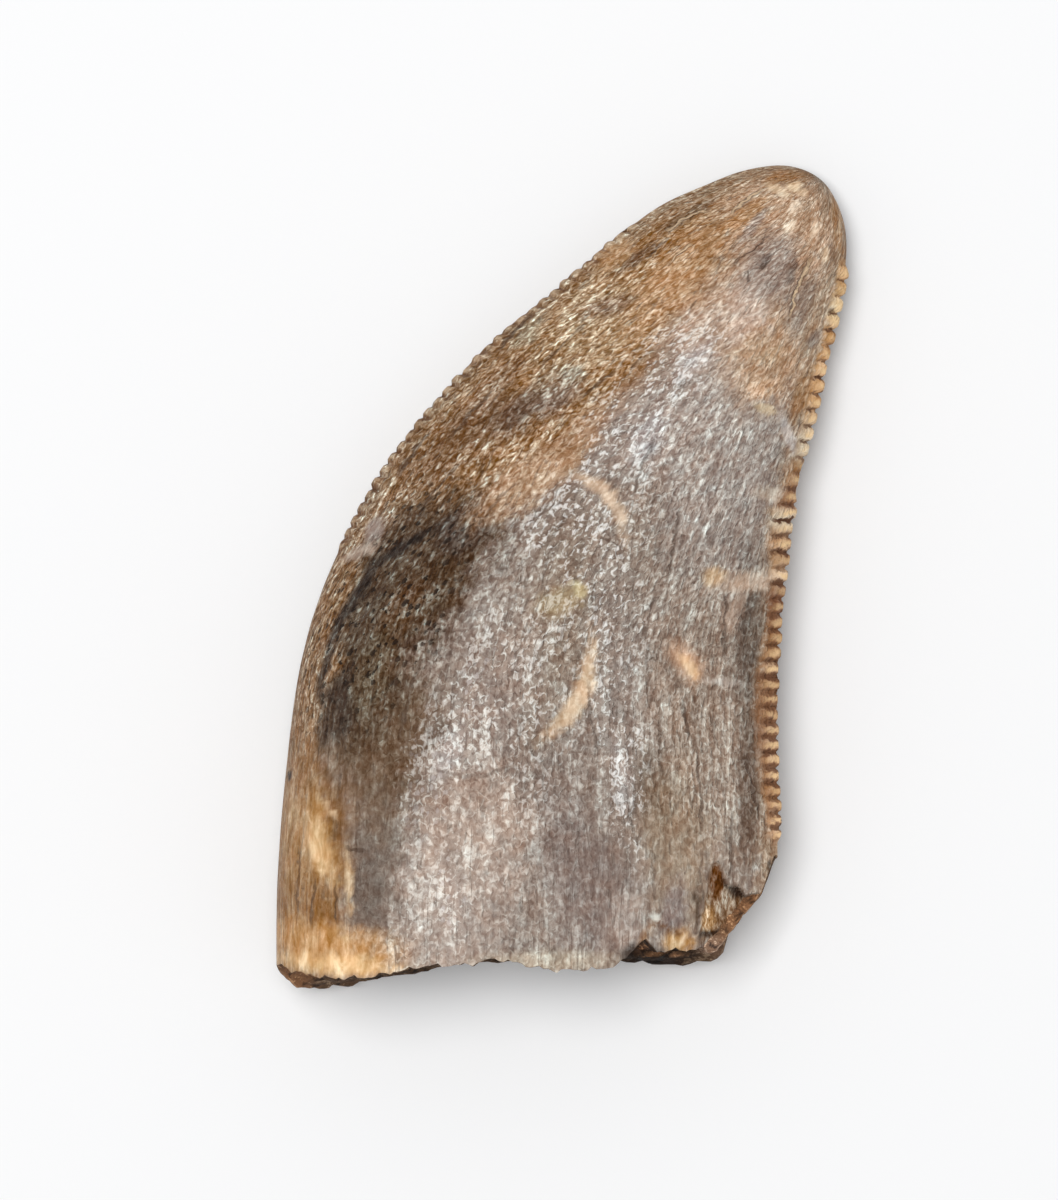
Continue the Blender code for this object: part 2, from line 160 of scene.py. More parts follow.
# The patches of the outer face, the broad fields first and the small marks last.
MARKS = [
    Mark("taupe low on the distal side", (3.62, -4.42), (4.2, 1.6), 90, (0.39, 0.295, 0.225), 0.8, 0.6),
    Mark("grey above the middle", (4.0, 3.0), (2.6, 1.7), 80, (0.44, 0.37, 0.32), 0.9),
    Mark("tan field of the mesial side", (-0.07, 6.24), (7.8, 2.35), 42, (0.43, 0.24, 0.112), 1, 0.45),
    Mark("tip", (6.12, 9.5), (2.1, 1.7), 60, (0.58, 0.375, 0.24)),
    Mark("peach throat", (4.8, 6.2), (2.1, 1.5), 150, (0.55, 0.365, 0.235), calm=0.2),
    # The crest marks and the second crest below are the pale enamel of the crests and partly a painted
    # highlight along them.
    Mark("crest, upper", (2.4, 3.9), (2.6, 1.1), 52, (0.47, 0.39, 0.335), 1, 0.6),
    Mark("crest, middle", (0.33, -0.5), (3.1, 1.35), 65, (0.35, 0.275, 0.215), 1, 0.6),
    Mark("crest, lower", (-2.04, -3.63), (2.6, 0.95), 70, (0.44, 0.36, 0.305), 1, 0.6),
    Mark("crest at the foot", (-2.75, -7.9), (2.9, 1.5), 86, (0.48, 0.395, 0.335), 1, 0.6),
    Mark("second crest", (1.3, -2.2), (4.6, 0.62), 96, (0.42, 0.355, 0.305), 0.8, 0.7, 0.6),
    Mark("violet shade at the foot", (0.55, -7.8), (2.3, 1.0), 112, (0.27, 0.21, 0.18), 0.95),
    Mark("pink dome", (-2.12, -6.26), (1.35, 1.3), 90, (0.47, 0.36, 0.29), 0.8, 0.35),
    Mark("golden foot", (-6.5, -7.7), (3.3, 1.15), 88, (0.305, 0.158, 0.064), 1, 0.45),
    Mark("tan of the foot's edge", (-7.0, -6.4), (1.7, 0.45), 88, (0.43, 0.25, 0.115), 0.85, 0.6),
    Mark("grey stripe at the foot", (-4.9, -7.45), (2.1, 0.62), 88, (0.19, 0.145, 0.115), 1, 0.45),
    Mark("brown fade below the shoulder", (-4.7, -4.0), (2.4, 1.35), 85, (0.16, 0.1, 0.06)),
    Mark("dark shoulder, upper", (-3.95, 0.05), (2.9, 1.5), 47, (0.1, 0.054, 0.026), 1, 0.4),
    Mark("dark shoulder, lower", (-5.2, -2.0), (2.5, 1.15), 82, (0.1, 0.06, 0.033), 1, 0.45),
    Mark("tan edge, lower", (-6.5, -2.9), (3.4, 0.55), 80, (0.35, 0.2, 0.1), 0.9),
    Mark("tan edge by the chip", (-5.86, -0.2), (1.4, 0.4), 67, (0.33, 0.19, 0.095), 0.85),
    Mark("dark foot of the shoulder", (-5.95, -3.5), (1.1, 0.45), 72, (0.055, 0.035, 0.024), 0.85),
    Mark("grey top of the shoulder", (-2.5, 1.35), (1.0, 0.5), 35, (0.085, 0.064, 0.054), 0.85),
    Mark("rust in the shoulder", (-4.2, -0.8), (0.75, 0.38), 55, (0.15, 0.075, 0.033), 0.7),
    Mark("rust low in the shoulder", (-4.5, -1.8), (0.8, 0.3), 72, (0.15, 0.085, 0.042), 0.6),
    Mark("olive of the shoulder", (-5.0, -2.6), (1.1, 0.4), 76, (0.17, 0.12, 0.072), 0.6),
    Mark("black streak of the shoulder, upper", (-4.15, 0.8), (0.9, 0.15), 31, (0.03, 0.02, 0.015), 0.9),
    Mark("black streak of the shoulder, lower", (-5.5, -0.65), (1.2, 0.15), 59, (0.03, 0.02, 0.015), 0.9),
    Mark("black patch of the shoulder", (-2.25, 1.75), (0.6, 0.22), 38, (0.035, 0.023, 0.017), 0.85),
    Mark("black streak of the shoulder's edge", (-6.15, -2.2), (0.95, 0.12), 74, (0.05, 0.033, 0.024),
         0.85),
    Mark("dark streak of the mesial side", (-0.9, 4.5), (1.5, 0.6), 38, (0.17, 0.105, 0.07), 0.9, 0.6),
    Mark("brown streak of the mesial side", (-2.9, 3.5), (1.7, 0.6), 42, (0.17, 0.085, 0.04), 0.7, 0.6),
    Mark("grey smudge", (-0.07, 4.75), (0.7, 0.32), 35, (0.29, 0.21, 0.16), 0.8, 0.6),
    Mark("orange band", (-0.65, 2.75), (2.2, 0.55), 38, (0.46, 0.285, 0.17), 0.95, calm=0.4),
    Mark("orange shoulder of the tip", (2.62, 7.6), (1.6, 0.5), 48, (0.54, 0.31, 0.16),
         0.85, 0.6, calm=0.3),
    Mark("cream speckles of the mesial side", (0.7, 6.5), (1.6, 0.95), 42, (0.54, 0.37, 0.22), 0.75, 0.6),
    Mark("orange patch of the mesial edge", (1.4, 8.5), (0.6, 0.25), 40, (0.5, 0.29, 0.145), 0.8, calm=0.6),
    Mark("dark streak by the orange patch", (2.0, 8.42), (0.65, 0.14), 38, (0.2, 0.11, 0.06), 0.8),
    Mark("red-brown streak of the mesial side", (-1.7, 5.1), (1.1, 0.35), 42, (0.27, 0.15, 0.08),
         0.75, 0.6),
    Mark("cream patch of the mesial edge", (-0.9, 6.4), (0.55, 0.25), 40, (0.5, 0.4, 0.27), 0.7),
    Mark("mint patch of the mesial side", (0.25, 5.35), (0.28, 0.16), 20, (0.36, 0.32, 0.25), 0.6),
    Mark("brown speckles of the mesial side", (1.2, 7.1), (0.7, 0.25), 15, (0.32, 0.21, 0.145), 0.7, 0.6),
    Mark("violet shade of the tip", (5.4, 8.05), (1.15, 0.7), 62, (0.36, 0.28, 0.235), 0.85, 0.6),
    Mark("smoke beside the top denticles", (6.3, 7.1), (0.75, 0.35), 65, (0.31, 0.22, 0.165), 0.75),
    Mark("peach by the upper denticles", (6.75, 6.9), (1.3, 0.28), 72, (0.54, 0.385, 0.26), 0.7),
    # A painted shade: the darker band where the distal denticles meet the face.
    Mark("dark band by the denticles", (4.95, -1.6), (2.0, 0.42), 89, (0.1, 0.07, 0.05), 0.8, 0.8),
    Mark("brown band by the denticles", (4.95, -5.2), (2.1, 0.35), 87, (0.15, 0.1, 0.07), 0.8, 0.6),
    Mark("brown dab", (2.3, -5.6), (1.1, 0.4), 95, (0.2, 0.145, 0.1), 0.7, 0.6),
    Mark("olive beige of the distal foot", (3.0, -7.1), (1.9, 0.8), 92, (0.4, 0.3, 0.21),
         0.75, 0.6, calm=0.2),
    Mark("pink beige of the foot", (1.6, -8.9), (0.8, 0.45), 92, (0.42, 0.325, 0.27), 0.7, 0.6, calm=0.3),
    Mark("cream hem of the base", (-0.4, -9.95), (1.7, 0.25), 0, (0.55, 0.46, 0.35), 0.75, 0.6, calm=0.3),
    Mark("golden rim of the foot", (-6.15, -9.5), (1.75, 0.5), -7, (0.58, 0.32, 0.135),
         0.95, 0.6, calm=0.3),
    Mark("bright hem of the foot", (-5.75, -10.05), (1.45, 0.26), -2, (0.82, 0.52, 0.25),
         0.9, 0.6, calm=0.8),
    Mark("cream streak of the foot", (-6.33, -6.87), (1.1, 0.32), 102, (0.55, 0.33, 0.145),
         0.9, 0.5, 0.4, 0.5),
    Mark("heart of the cream streak", (-6.33, -7.1), (0.55, 0.2), 102, (0.76, 0.5, 0.26), 0.9, 0.5, 0, 0.7),
    Mark("cream sliver of the foot", (-5.54, -7.9), (0.8, 0.09), 93, (0.64, 0.45, 0.27), 0.9, calm=0.6),
    Mark("cream dash of the foot", (-6.1, -6.0), (0.28, 0.08), 125, (0.74, 0.52, 0.32), 0.85, calm=0.6),
    Mark("tan knot above the cream streak", (-6.9, -6.2), (0.4, 0.25), 100, (0.46, 0.28, 0.14), 0.8),
    Mark("brown hollow beside the cream streak", (-5.9, -6.6), (0.3, 0.1), 60, (0.17, 0.09, 0.04), 0.7),
    Mark("olive spot", (-0.1, -0.65), (0.6, 0.36), 20, (0.42, 0.32, 0.19), 0.8, calm=0.4),
    Mark("yellow grain of the crest", (0.4, -0.3), (0.24, 0.15), 110, (0.6, 0.49, 0.28), 0.85, 0.4, 0, 0.7),
    Mark("orange streak", (0.45, -3.08), (1.4, 0.24), 63, (0.66, 0.465, 0.3), 0.95, 0.45, -1.5, 0.8),
    Mark("orange arc", (1.13, 2.15), (1.15, 0.19), 132, (0.58, 0.42, 0.29), 0.9, 0.5, -2.3, 0.8),
    Mark("pale back of the arc", (1.3, 1.9), (0.5, 0.07), 122, (0.76, 0.6, 0.45), 0.85, calm=0.6),
    Mark("orange comma", (3.25, -2.2), (0.62, 0.32), 124, (0.6, 0.38, 0.25), 0.85, 0.6, -0.4, 0.7),
    Mark("heart of the comma", (3.33, -2.35), (0.4, 0.15), 124, (0.9, 0.62, 0.38), 0.95, 0.5, -0.4, 0.8),
    Mark("tail of the comma", (4.15, -2.75), (0.5, 0.09), 176, (0.57, 0.49, 0.42), 0.8, 0.6, calm=0.6),
    Mark("orange spot", (3.96, 0.0), (0.3, 0.24), 0, (0.6, 0.41, 0.24), 0.9, calm=0.6),
    Mark("veil beside the denticles", (4.95, -0.1), (0.85, 0.26), 12, (0.6, 0.46, 0.35),
         0.9, 0.6, calm=0.6),
    Mark("foot of the veil", (4.49, -0.9), (0.55, 0.2), 70, (0.54, 0.41, 0.32), 0.8, 0.6, calm=0.6),
    Mark("cream spot", (5.32, 4.42), (0.3, 0.13), 162, (0.72, 0.57, 0.39), 0.95, 0.4, calm=0.7),
    Mark("pale arc above the notch", (5.95, 3.72), (0.62, 0.12), 112, (0.62, 0.56, 0.51), 0.9, 0.5, 0, 0.5),
    Mark("brown patch below the blotch", (5.75, 1.75), (0.42, 0.14), 5, (0.42, 0.27, 0.16), 0.8),
    Mark("cream bar below the blotch", (5.8, 1.35), (0.4, 0.1), 162, (0.76, 0.65, 0.5), 0.9, 0.4, 0, 0.6),
    Mark("pink shade of the throat", (3.6, 6.6), (1.0, 0.5), 48, (0.56, 0.42, 0.33), 0.7, 0.6),
    Mark("cream foot of the pale arc", (6.3, 3.15), (0.22, 0.12), 20, (0.8, 0.7, 0.56), 0.9, 0.4, calm=0.7),
    Mark("pale blotch", (5.57, 2.18), (0.5, 0.18), 0, (0.66, 0.56, 0.45), 0.95, calm=0.5),
    Mark("shade over the orange flake", (2.88, -8.7), (0.8, 0.32), 82, (0.27, 0.21, 0.19), 0.8),
    Mark("orange flake of the foot", (3.0, -9.5), (0.4, 0.3), 0, (0.58, 0.35, 0.16), 0.95, 0.4, calm=0.5),
    Mark("brown crack over the orange flake", (2.75, -9.15), (0.4, 0.07), 150, (0.2, 0.1, 0.05), 0.85, 0.5),
    Mark("pale edge of the orange flake", (3.15, -9.45), (0.25, 0.06), 70, (0.75, 0.56, 0.36),
         0.8, 0.5, calm=0.6),
    # A painted shadow: near black where the break lies in shadow under the enamel's edge.
    Mark("painted shadow in the wedge of the foot", (2.0, -9.75), (0.55, 0.25), 0, (0.035, 0.022, 0.016), 0.9, 0.4),
    Mark("brown peak over the wedge", (2.15, -9.3), (0.3, 0.12), 60, (0.3, 0.17, 0.09), 0.85, 0.5),
    Mark("fibres of the corner", (4.1, -8.7), (1.6, 0.9), 90, (0.27, 0.165, 0.095),
         1, 0.2, within="lost_flake"),
    Mark("rust hollow of the corner", (4.05, -7.85), (0.55, 0.24), 82, (0.17, 0.07, 0.025),
         1, 0.3, within="lost_flake"),
    # A painted shadow under the edge of the enamel that still stands round the lost flake.
    Mark("painted shadow under the corner's enamel", (4.68, -8.25), (0.62, 0.18), 149, (0.045, 0.025, 0.015),
         1, 0.3, within="lost_flake"),
    Mark("orange lump of the corner", (3.8, -8.95), (0.32, 0.22), 90, (0.6, 0.38, 0.2),
         0.95, 0.4, 0, 0.7, "lost_flake"),
    Mark("dark step of the corner", (3.5, -8.65), (0.6, 0.07), 92, (0.1, 0.06, 0.035), 0.9, 0.4),
    Mark("recess of the corner", (3.95, -9.3), (0.5, 0.1), 0, (0.05, 0.03, 0.02), 0.95, 0.4),
    Mark("grey lumps of the corner", (3.98, -9.7), (0.5, 0.25), 10, (0.27, 0.22, 0.19), 0.9),
    Mark("pale chip of the mesial edge", (-5.3, 0.66), (0.5, 0.14), 25, (0.42, 0.32, 0.25), 0.9, calm=0.8),
    Mark("grey glaze of the mesial edge", (-4.95, 1.25), (0.36, 0.2), 60, (0.36, 0.29, 0.25),
         0.85, calm=0.8),
    Mark("cream lump of the tip", (6.12, 10.34), (0.2, 0.14), 20, (0.85, 0.65, 0.43), 0.9, 0.4, calm=0.8),
    Mark("cream ridge of the tip", (5.67, 10.22), (0.33, 0.13), 150, (0.8, 0.6, 0.4), 0.9, 0.4, calm=0.8),
    Mark("cream grain of the tip", (6.35, 10.15), (0.16, 0.12), 0, (0.78, 0.58, 0.39), 0.85, 0.4, calm=0.8),
    Mark("brown cap of the tip", (5.95, 10.6), (0.7, 0.17), 5, (0.42, 0.21, 0.085), 0.9),
    Mark("peach of the tip", (6.3, 9.5), (0.55, 0.3), 60, (0.62, 0.43, 0.29), 0.8),
    Mark("pale peach of the tip", (5.25, 9.85), (0.55, 0.28), 30, (0.62, 0.44, 0.3), 0.85),
    Mark("orange stripe of the tip", (4.75, 9.5), (0.75, 0.2), 35, (0.5, 0.26, 0.11), 0.75),
    Mark("dark stripe of the tip", (3.3, 9.55), (0.9, 0.16), 32, (0.24, 0.15, 0.09), 0.7),
    Mark("lilac stripe of the tip", (5.0, 9.2), (0.6, 0.14), 52, (0.42, 0.33, 0.28), 0.7),
    Mark("brown rim of the tip", (7.25, 9.4), (0.8, 0.13), 95, (0.46, 0.25, 0.115), 0.8),
    Mark("pink of the tip's neck", (4.8, 6.8), (0.8, 0.5), 55, (0.66, 0.5, 0.4), 0.75),
    Mark("cream grains of the tip, upper", (6.15, 9.75), (0.22, 0.16), 40, (0.84, 0.66, 0.49),
         0.85, 0.4, calm=0.6),
    Mark("cream grains of the tip, middle", (6.0, 9.2), (0.2, 0.13), 20, (0.8, 0.62, 0.45),
         0.8, 0.4, calm=0.6),
    Mark("cream grains of the tip, lower", (6.65, 9.15), (0.28, 0.1), 80, (0.78, 0.58, 0.41),
         0.8, 0.4, calm=0.6),
    Mark("cream grain by the first denticle", (6.95, 8.5), (0.25, 0.1), 85, (0.76, 0.54, 0.35),
         0.8, 0.4, calm=0.6),
    Mark("tan grain of the throat", (5.5, 5.8), (0.35, 0.2), 30, (0.68, 0.47, 0.3), 0.7),
    Mark("orange grain of the throat", (5.3, 4.95), (0.45, 0.25), 10, (0.64, 0.4, 0.24), 0.7),
    # Painted highlights: lighter patches under the painted glints, where the crest would shine.
    Mark("painted highlight of the upper crest", (2.2, 3.6), (0.7, 0.35), 60, (0.58, 0.54, 0.52), 0.7, 0.6),
    Mark("painted highlight under the throat", (3.5, 5.7), (0.6, 0.3), 45, (0.6, 0.53, 0.49), 0.7, 0.6),
    Mark("painted highlight of the lower crest", (-3.0, -4.6), (0.7, 0.3), 62, (0.58, 0.52, 0.48), 0.6, 0.6),
    Mark("painted highlight of the foot", (-2.85, -8.5), (0.9, 0.28), 90, (0.56, 0.48, 0.42), 0.6, 0.6),
    Mark("painted highlight of the second crest", (1.55, -5.2), (0.9, 0.2), 100, (0.58, 0.52, 0.48), 0.65, 0.6),
    Mark("grey smear of the neck", (6.65, 6.3), (0.3, 0.15), 45, (0.27, 0.2, 0.16), 0.8),
    Mark("brown by the upper denticles", (6.35, 4.85), (0.75, 0.22), 72, (0.43, 0.24, 0.115), 0.8),
    Mark("dark grain of the violet shade, left", (5.35, 8.35), (0.25, 0.06), 62, (0.17, 0.125, 0.105), 0.8),
    Mark("dark grain of the violet shade, right", (6.0, 7.95), (0.35, 0.12), 75, (0.22, 0.17, 0.14), 0.7),
    Mark("pale grain of the foot", (2.4, -8.85), (0.13, 0.1), 0, (0.75, 0.74, 0.66), 0.95, 0.3, calm=0.8),
    Mark("pale grain of the corner", (5.1, -7.65), (0.08, 0.08), 0, (0.66, 0.58, 0.5), 0.9, 0.4),
    Mark("dark notch of the corner", (5.42, -7.55), (0.14, 0.06), 70, (0.05, 0.03, 0.02), 0.9, 0.4),
    Mark("dark nick of the mesial side", (-7.15, -5.2), (0.14, 0.07), 70, (0.04, 0.025, 0.018), 0.95, 0.3),
]
SMALL_MARK = 0.45  # marks narrower than this keep closely to their place

# The bands along both edges, which lie over the marks up to BANDS_AFTER: the kept value that each reads, its
# colour, and between which distances from the edge it fades.
EDGE_BANDS = [("mesial_gap", "Mesial band", 0.15, 0.75), ("distal_gap", "Distal band", 0.2, 0.9)]
BANDS_AFTER = "second crest"

# How much lighter or darker than plain dentine the broken face is. Only its outer strip shows from above.
BREAK_MARKS = [
    Mark("pale lumps at the mesial end", (-7.0, -10.55), (0.5, 0.4), 0, (1.9, 1.6, 1.35)),
    Mark("shade under the bright hem", (-5.0, -10.4), (1.5, 0.3), 0, (0.55, 0.5, 0.45)),
    Mark("shade along the middle", (-1.5, -10.2), (2.3, 0.3), 0, (0.6, 0.55, 0.5)),
    # A painted shadow: the break is darkened where it lies under the enamel's edge.
    Mark("painted shadow in the wedge", (2.4, -10.0), (1.3, 0.6), 0, (0.19, 0.16, 0.14), 1, 0.4),
    Mark("brown crumbs of the wedge", (2.05, -9.75), (0.2, 0.09), 50, (1.3, 1.0, 0.8)),
    Mark("tan crumbs of the wedge", (2.4, -9.95), (0.22, 0.06), 15, (2.2, 1.9, 1.6)),
    Mark("pale crumbs under the orange flake", (3.0, -9.97), (0.28, 0.05), -10, (2.6, 2.3, 2.0)),
    Mark("grey lumps of the distal end", (3.95, -9.7), (0.4, 0.3), 0, (2.1, 2.2, 2.5)),
    Mark("tan fibres of the corner", (4.75, -8.7), (0.8, 0.5), 45, (2.0, 1.7, 1.4)),
    Mark("upper gap in the fibres of the corner", (5.05, -8.55), (0.3, 0.05), 150, (0.35, 0.3, 0.25)),
    Mark("lower gap in the fibres of the corner", (4.6, -9.0), (0.25, 0.06), 120, (0.35, 0.3, 0.25)),
]


class GrainField(NamedTuple):
    """A part of the outer face with its own grain."""

    name: str
    place: tuple
    reach: tuple
    lean: float
    grain: tuple  # its contrast, its share of short beads (the rest is long flecks), and how spotted it is
    # Shine lays painted glints: pale beads and spots that stand in for highlights on the shiny enamel.
    shine: float  # how many of its beads glint; its spots are glints there, and pits where it is 0
    soft: float = 0.5
    bend: float = 0.0


GROUND_GRAIN = (1.2, 0.7, 0)
GRAIN_FIELDS = [
    GrainField("mesial field", (-1.5, 5.0), (9.0, 3.0), 44, (2.0, 0.75, 0), 0),
    GrainField("distal flecks", (3.6, -3.2), (7.0, 1.8), 92, (1.5, 0.6, 0), 0.12),
    GrainField("foot of the distal side", (2.3, -8.3), (2.6, 1.9), 0, (0.9, 0.6, 0), 0.1),
    GrainField("crest", (0.1, -1.2), (7.8, 1.4), 68, (1.3, 0.85, 0), 0.6, 0.6, -0.4),
    GrainField("foot of the crest", (-2.6, -7.8), (3.0, 1.6), 88, (0.75, 0.9, 0.4), 0.2),
    GrainField("tip", (5.6, 8.2), (3.6, 2.2), 62, (1.1, 0.85, 0), 0),
    GrainField("dark shoulder", (-4.6, -0.7), (3.9, 1.6), 62, (2.4, 0.55, 1), 0),
    GrainField("golden foot", (-6.3, -7.9), (3.4, 1.5), 89, (0.65, 0.45, 0), 0),
    GrainField("grey stripe", (-4.9, -7.4), (2.2, 0.6), 88, (0.8, 0.7, 0), 0),
    # Fields of painted glints, where the crest would shine.
    GrainField("glints at the top of the crest", (2.0, 4.5), (2.5, 0.75), 52, (1.3, 0.95, 0), 1.25),
    GrainField("glints under the throat", (3.6, 5.9), (0.9, 0.4), 55, (1.1, 0.95, 0), 1.0),
    GrainField("glints below the arc", (0.9, 0.4), (2.4, 0.85), 105, (1.3, 0.95, 0), 1.15),
    GrainField("glints left of the arc", (-0.35, 1.3), (0.9, 0.5), 62, (1.3, 0.95, 0), 1.1),
    GrainField("glints down the second crest", (1.5, -4.6), (2.6, 0.45), 98, (1.2, 0.95, 0), 1.15),
    GrainField("glints of the lower crest", (-2.7, -3.6), (2.6, 0.75), 66, (1.2, 0.95, 0.5), 1.1),
    GrainField("glints of the foot", (-2.85, -8.3), (1.4, 0.4), 92, (0.8, 0.95, 0.7), 0.9),
    GrainField("glints beside the dome", (-3.4, -5.6), (1.3, 0.5), 78, (0.9, 0.95, 0.6), 0.75),
]


class Line(NamedTuple):
    """One fine line of the outer face: a crack, or the pale crest of a ridge with dark sides."""

    place: tuple  # its middle
    half_length: float
    lean: float  # degrees from +X
    bend: float  # how far its ends curve aside
    half_width: float
    dark: float
    pale: float = 0.0


LINES = [
    Line((4.85, 9.95), 0.65, 38, 0.1, 0.05, 0.9, 1.0),
    Line((3.26, 9.44), 0.75, 27, 0.05, 0.04, 0.8, 1.0),
    Line((5.17, 8.02), 0.45, 53, 0.05, 0.018, 0.8),
    Line((6.22, 7.63), 0.95, 70, 0.04, 0.045, 0.9, 1.0),
    Line((4.86, 7.95), 0.3, 95, -0.05, 0.016, 0.7),
    Line((3.08, 8.53), 0.45, 42, 0.05, 0.035, 0.8, 1.0),
    Line((0.0, 6.1), 1.1, 44, 0.05, 0.03, 0.6),
    Line((-2.4, 4.3), 1.0, 48, 0.05, 0.03, 0.7),
    Line((2.1, 5.7), 0.8, 46, 0.05, 0.03, 0.4),
    Line((-3.3, 2.3), 1.1, 50, 0.05, 0.03, 0.7),
    Line((-1.6, 2.1), 0.7, 48, 0.1, 0.03, 0.6),
    Line((-4.75, -0.3), 1.2, 57, 0.1, 0.024, 0.6),
    Line((-5.55, -2.6), 0.9, 76, 0.05, 0.024, 0.6),
    Line((-4.0, -3.2), 1.3, 76, 0.05, 0.04, 0.5),
    Line((-0.2, 1.15), 0.65, 53, -0.05, 0.05, 0.5),
    Line((1.25, 0.9), 0.4, 155, 0.02, 0.025, 0.5),
    Line((0.75, -3.65), 1.1, 98, 0.03, 0.03, 0.5),
    Line((-2.3, -5.15), 1.3, 4, -0.45, 0.04, 0.4),
    Line((-5.35, -7.05), 0.35, 170, -0.04, 0.035, 0.7),
    Line((3.2, -3.7), 0.6, 104, 0.05, 0.04, 0.75),
    Line((3.6, -5.6), 1.2, 93, -0.05, 0.03, 0.6),
    Line((2.55, -4.4), 0.95, 91, 0.03, 0.03, 0.45),
    Line((4.95, -5.4), 0.95, 102, 0.05, 0.035, 0.7),
    Line((1.75, -6.2), 1.0, 100, 0.08, 0.03, 0.5),
    Line((3.95, -4.0), 0.5, 96, 0.03, 0.03, 0.5),
    Line((2.35, -7.6), 1.1, 91, 0.03, 0.03, 0.4),
    Line((3.6, -7.9), 0.7, 91, 0.03, 0.03, 0.5),
    Line((4.93, 8.55), 0.7, 41, 0.05, 0.018, 0.8),
    Line((2.5, 8.7), 0.45, 46, 0.05, 0.02, 0.8),
    Line((4.6, 8.9), 0.5, 52, 0.05, 0.018, 0.45),
    Line((-1.2, 6.5), 0.8, 45, 0.04, 0.04, 0.8),
    Line((-3.9, 3.3), 0.9, 52, 0.04, 0.04, 0.8),
    Line((0.9, 5.0), 0.7, 40, -0.04, 0.035, 0.7),
    Line((4.25, -1.3), 1.1, 88, 0.03, 0.035, 0.6),
    Line((2.9, 0.9), 1.2, 80, 0.03, 0.035, 0.6),
    Line((2.1, 2.9), 1.0, 70, 0.03, 0.035, 0.6),
    Line((4.4, -7.0), 1.1, 88, 0.02, 0.035, 0.7),
    Line((-6.9, -7.9), 1.0, 89, 0.02, 0.025, 0.6),
    Line((-6.5, -8.4), 0.7, 86, 0.02, 0.025, 0.6),
    Line((-5.9, -8.5), 0.6, 92, 0.02, 0.022, 0.6),
]

# The kinds of grain, in the order of their names in the enamel: beads, flecks, fibres, soft and patches.
GRAIN_INPUTS = ("Across", "Along", "Detail", "Distortion", "Shift", "Crispness")
GRAINS = [
    (8.0, 6.5, 2.0, 0.7, 0.0, 0.19),
    (8.5, 2.2, 2.0, 0.0, 11.0, 0.18),
    (4.5, 0.4, 2.5, 0.2, 23.0, 0.2),
    (1.6, 0.6, 3.0, 0.3, 37.0, 0.2),
    (3.0, 1.7, 3.0, 0.8, 51.0, 0.2),
]

# How much the grains, the painted shine and the dark rings round the painted glints lighten the enamel, in
# doublings. Where the grain is strong, the patches count for less.
DETAIL_GAIN, FIBRE_GAIN, SOFT_GAIN, PATCH_GAIN, PATCH_LOSS = 1.7, 0.6, 0.5, 1.15, 0.45
SHINE_GAIN, MOAT_GAIN = 0.1, -0.4
KNOB_CHANCE_GAIN, KNOB_DETAIL_GAIN, KNOB_GAIN = 0.7, 0.8, -0.35

# What a doubling does to the saturation and to red, green and blue, and what the warm patches do to these.
SATURATION_TILT, COLOUR_TILT, WARMTH = -0.26, (-0.07, 0.03, 0.03), (0.26, -0.04, -0.22)

# How far the painted glints, pits, hairlines, cracks, pale crests and parts of the denticles cover what is
# below them.
GLINT_COVER, PIT_COVER, HAIR_COVER, CRACK_COVER, CREST_COVER = 0.52, 0.85, 0.5, 0.85, 0.8
# The knobs keep the denticles' own colour; the slots take a painted shade.
KNOB_COVER, DISTAL_SLOT_COVER, MESIAL_SLOT_COVER = 0.9, 0.95, 0.7

# Roughness and specular level of the surfaces.
ENAMEL_ROUGHNESS, DETAIL_ROUGHNESS = 0.52, -0.12
GLINT_ROUGHNESS, PIT_ROUGHNESS, FLAKE_ROUGHNESS = 0.4, 0.75, 0.8
ENAMEL_SPECULAR, DENTINE_SPECULAR = 0.12, 0.15

# How far the denticles reach onto the face. On the distal edge it changes with the place in the row.
DENTICLE_REACHES = [
    (0, 0.25), (11, 0.3), (13, 0.4), (16.5, 0.7), (18.5, 0.42), (22.5, 0.4), (25.5, 0.6),
    (28, 0.66), (32, 0.5), (34.5, 0.34), (37, 0.2),
]
MESIAL_REACH = 0.4

# The relief of the two rows. The slants are places of the row for each millimetre from the edge. Round the
# worn place the denticles are worn away. Lifts are in metres.
DISTAL_SLANTS = {"Slant at the top": -0.7, "Slant at the foot": 0.4}
SLOT_SHARE = 0.4
ROWS = {
    "distal": {"Lift": 0.00006, "Unevenness": 0.4, "Worn place": 12.9, "Seed": 3, **DISTAL_SLANTS},
    "mesial": {"Lift": 0.00003, "Unevenness": 0.6, "Seed": 8},
}
FLOOR_LEVEL = -0.00001  # in metres, so that the floor and the tooth's flat don't lie in one plane

# Colours of the distal denticles, by the place in the row where each begins: 0 is the top one.
DENTICLE_COLOURS = [
    (0, (0.72, 0.42, 0.2)),
    (2.6, (0.82, 0.6, 0.34)),
    (3.6, (0.72, 0.42, 0.2)),
    (8, (0.68, 0.38, 0.17)),
    (11, (0.85, 0.72, 0.53)),
    (12.2, (0.42, 0.22, 0.095)),
    (14.6, (0.38, 0.18, 0.08)),
    (15.6, (0.82, 0.68, 0.49)),
    (16.7, (0.48, 0.25, 0.115)),
    (18.8, (0.7, 0.47, 0.29)),
    (20.4, (0.24, 0.1, 0.05)),
    (23.6, (0.43, 0.23, 0.11)),
    (29, (0.38, 0.205, 0.115)),
    (33, (0.5, 0.27, 0.135)),
    (36, (0.6, 0.36, 0.21)),
]


def ease(value, low, high):
    """0 below low, 1 above high, and a smooth step between them."""
    share = np.clip((value - low) / (high - low), 0, 1)
    return share * share * (3 - 2 * share)


def mix(first, second, share):
    return first + (second - first) * share


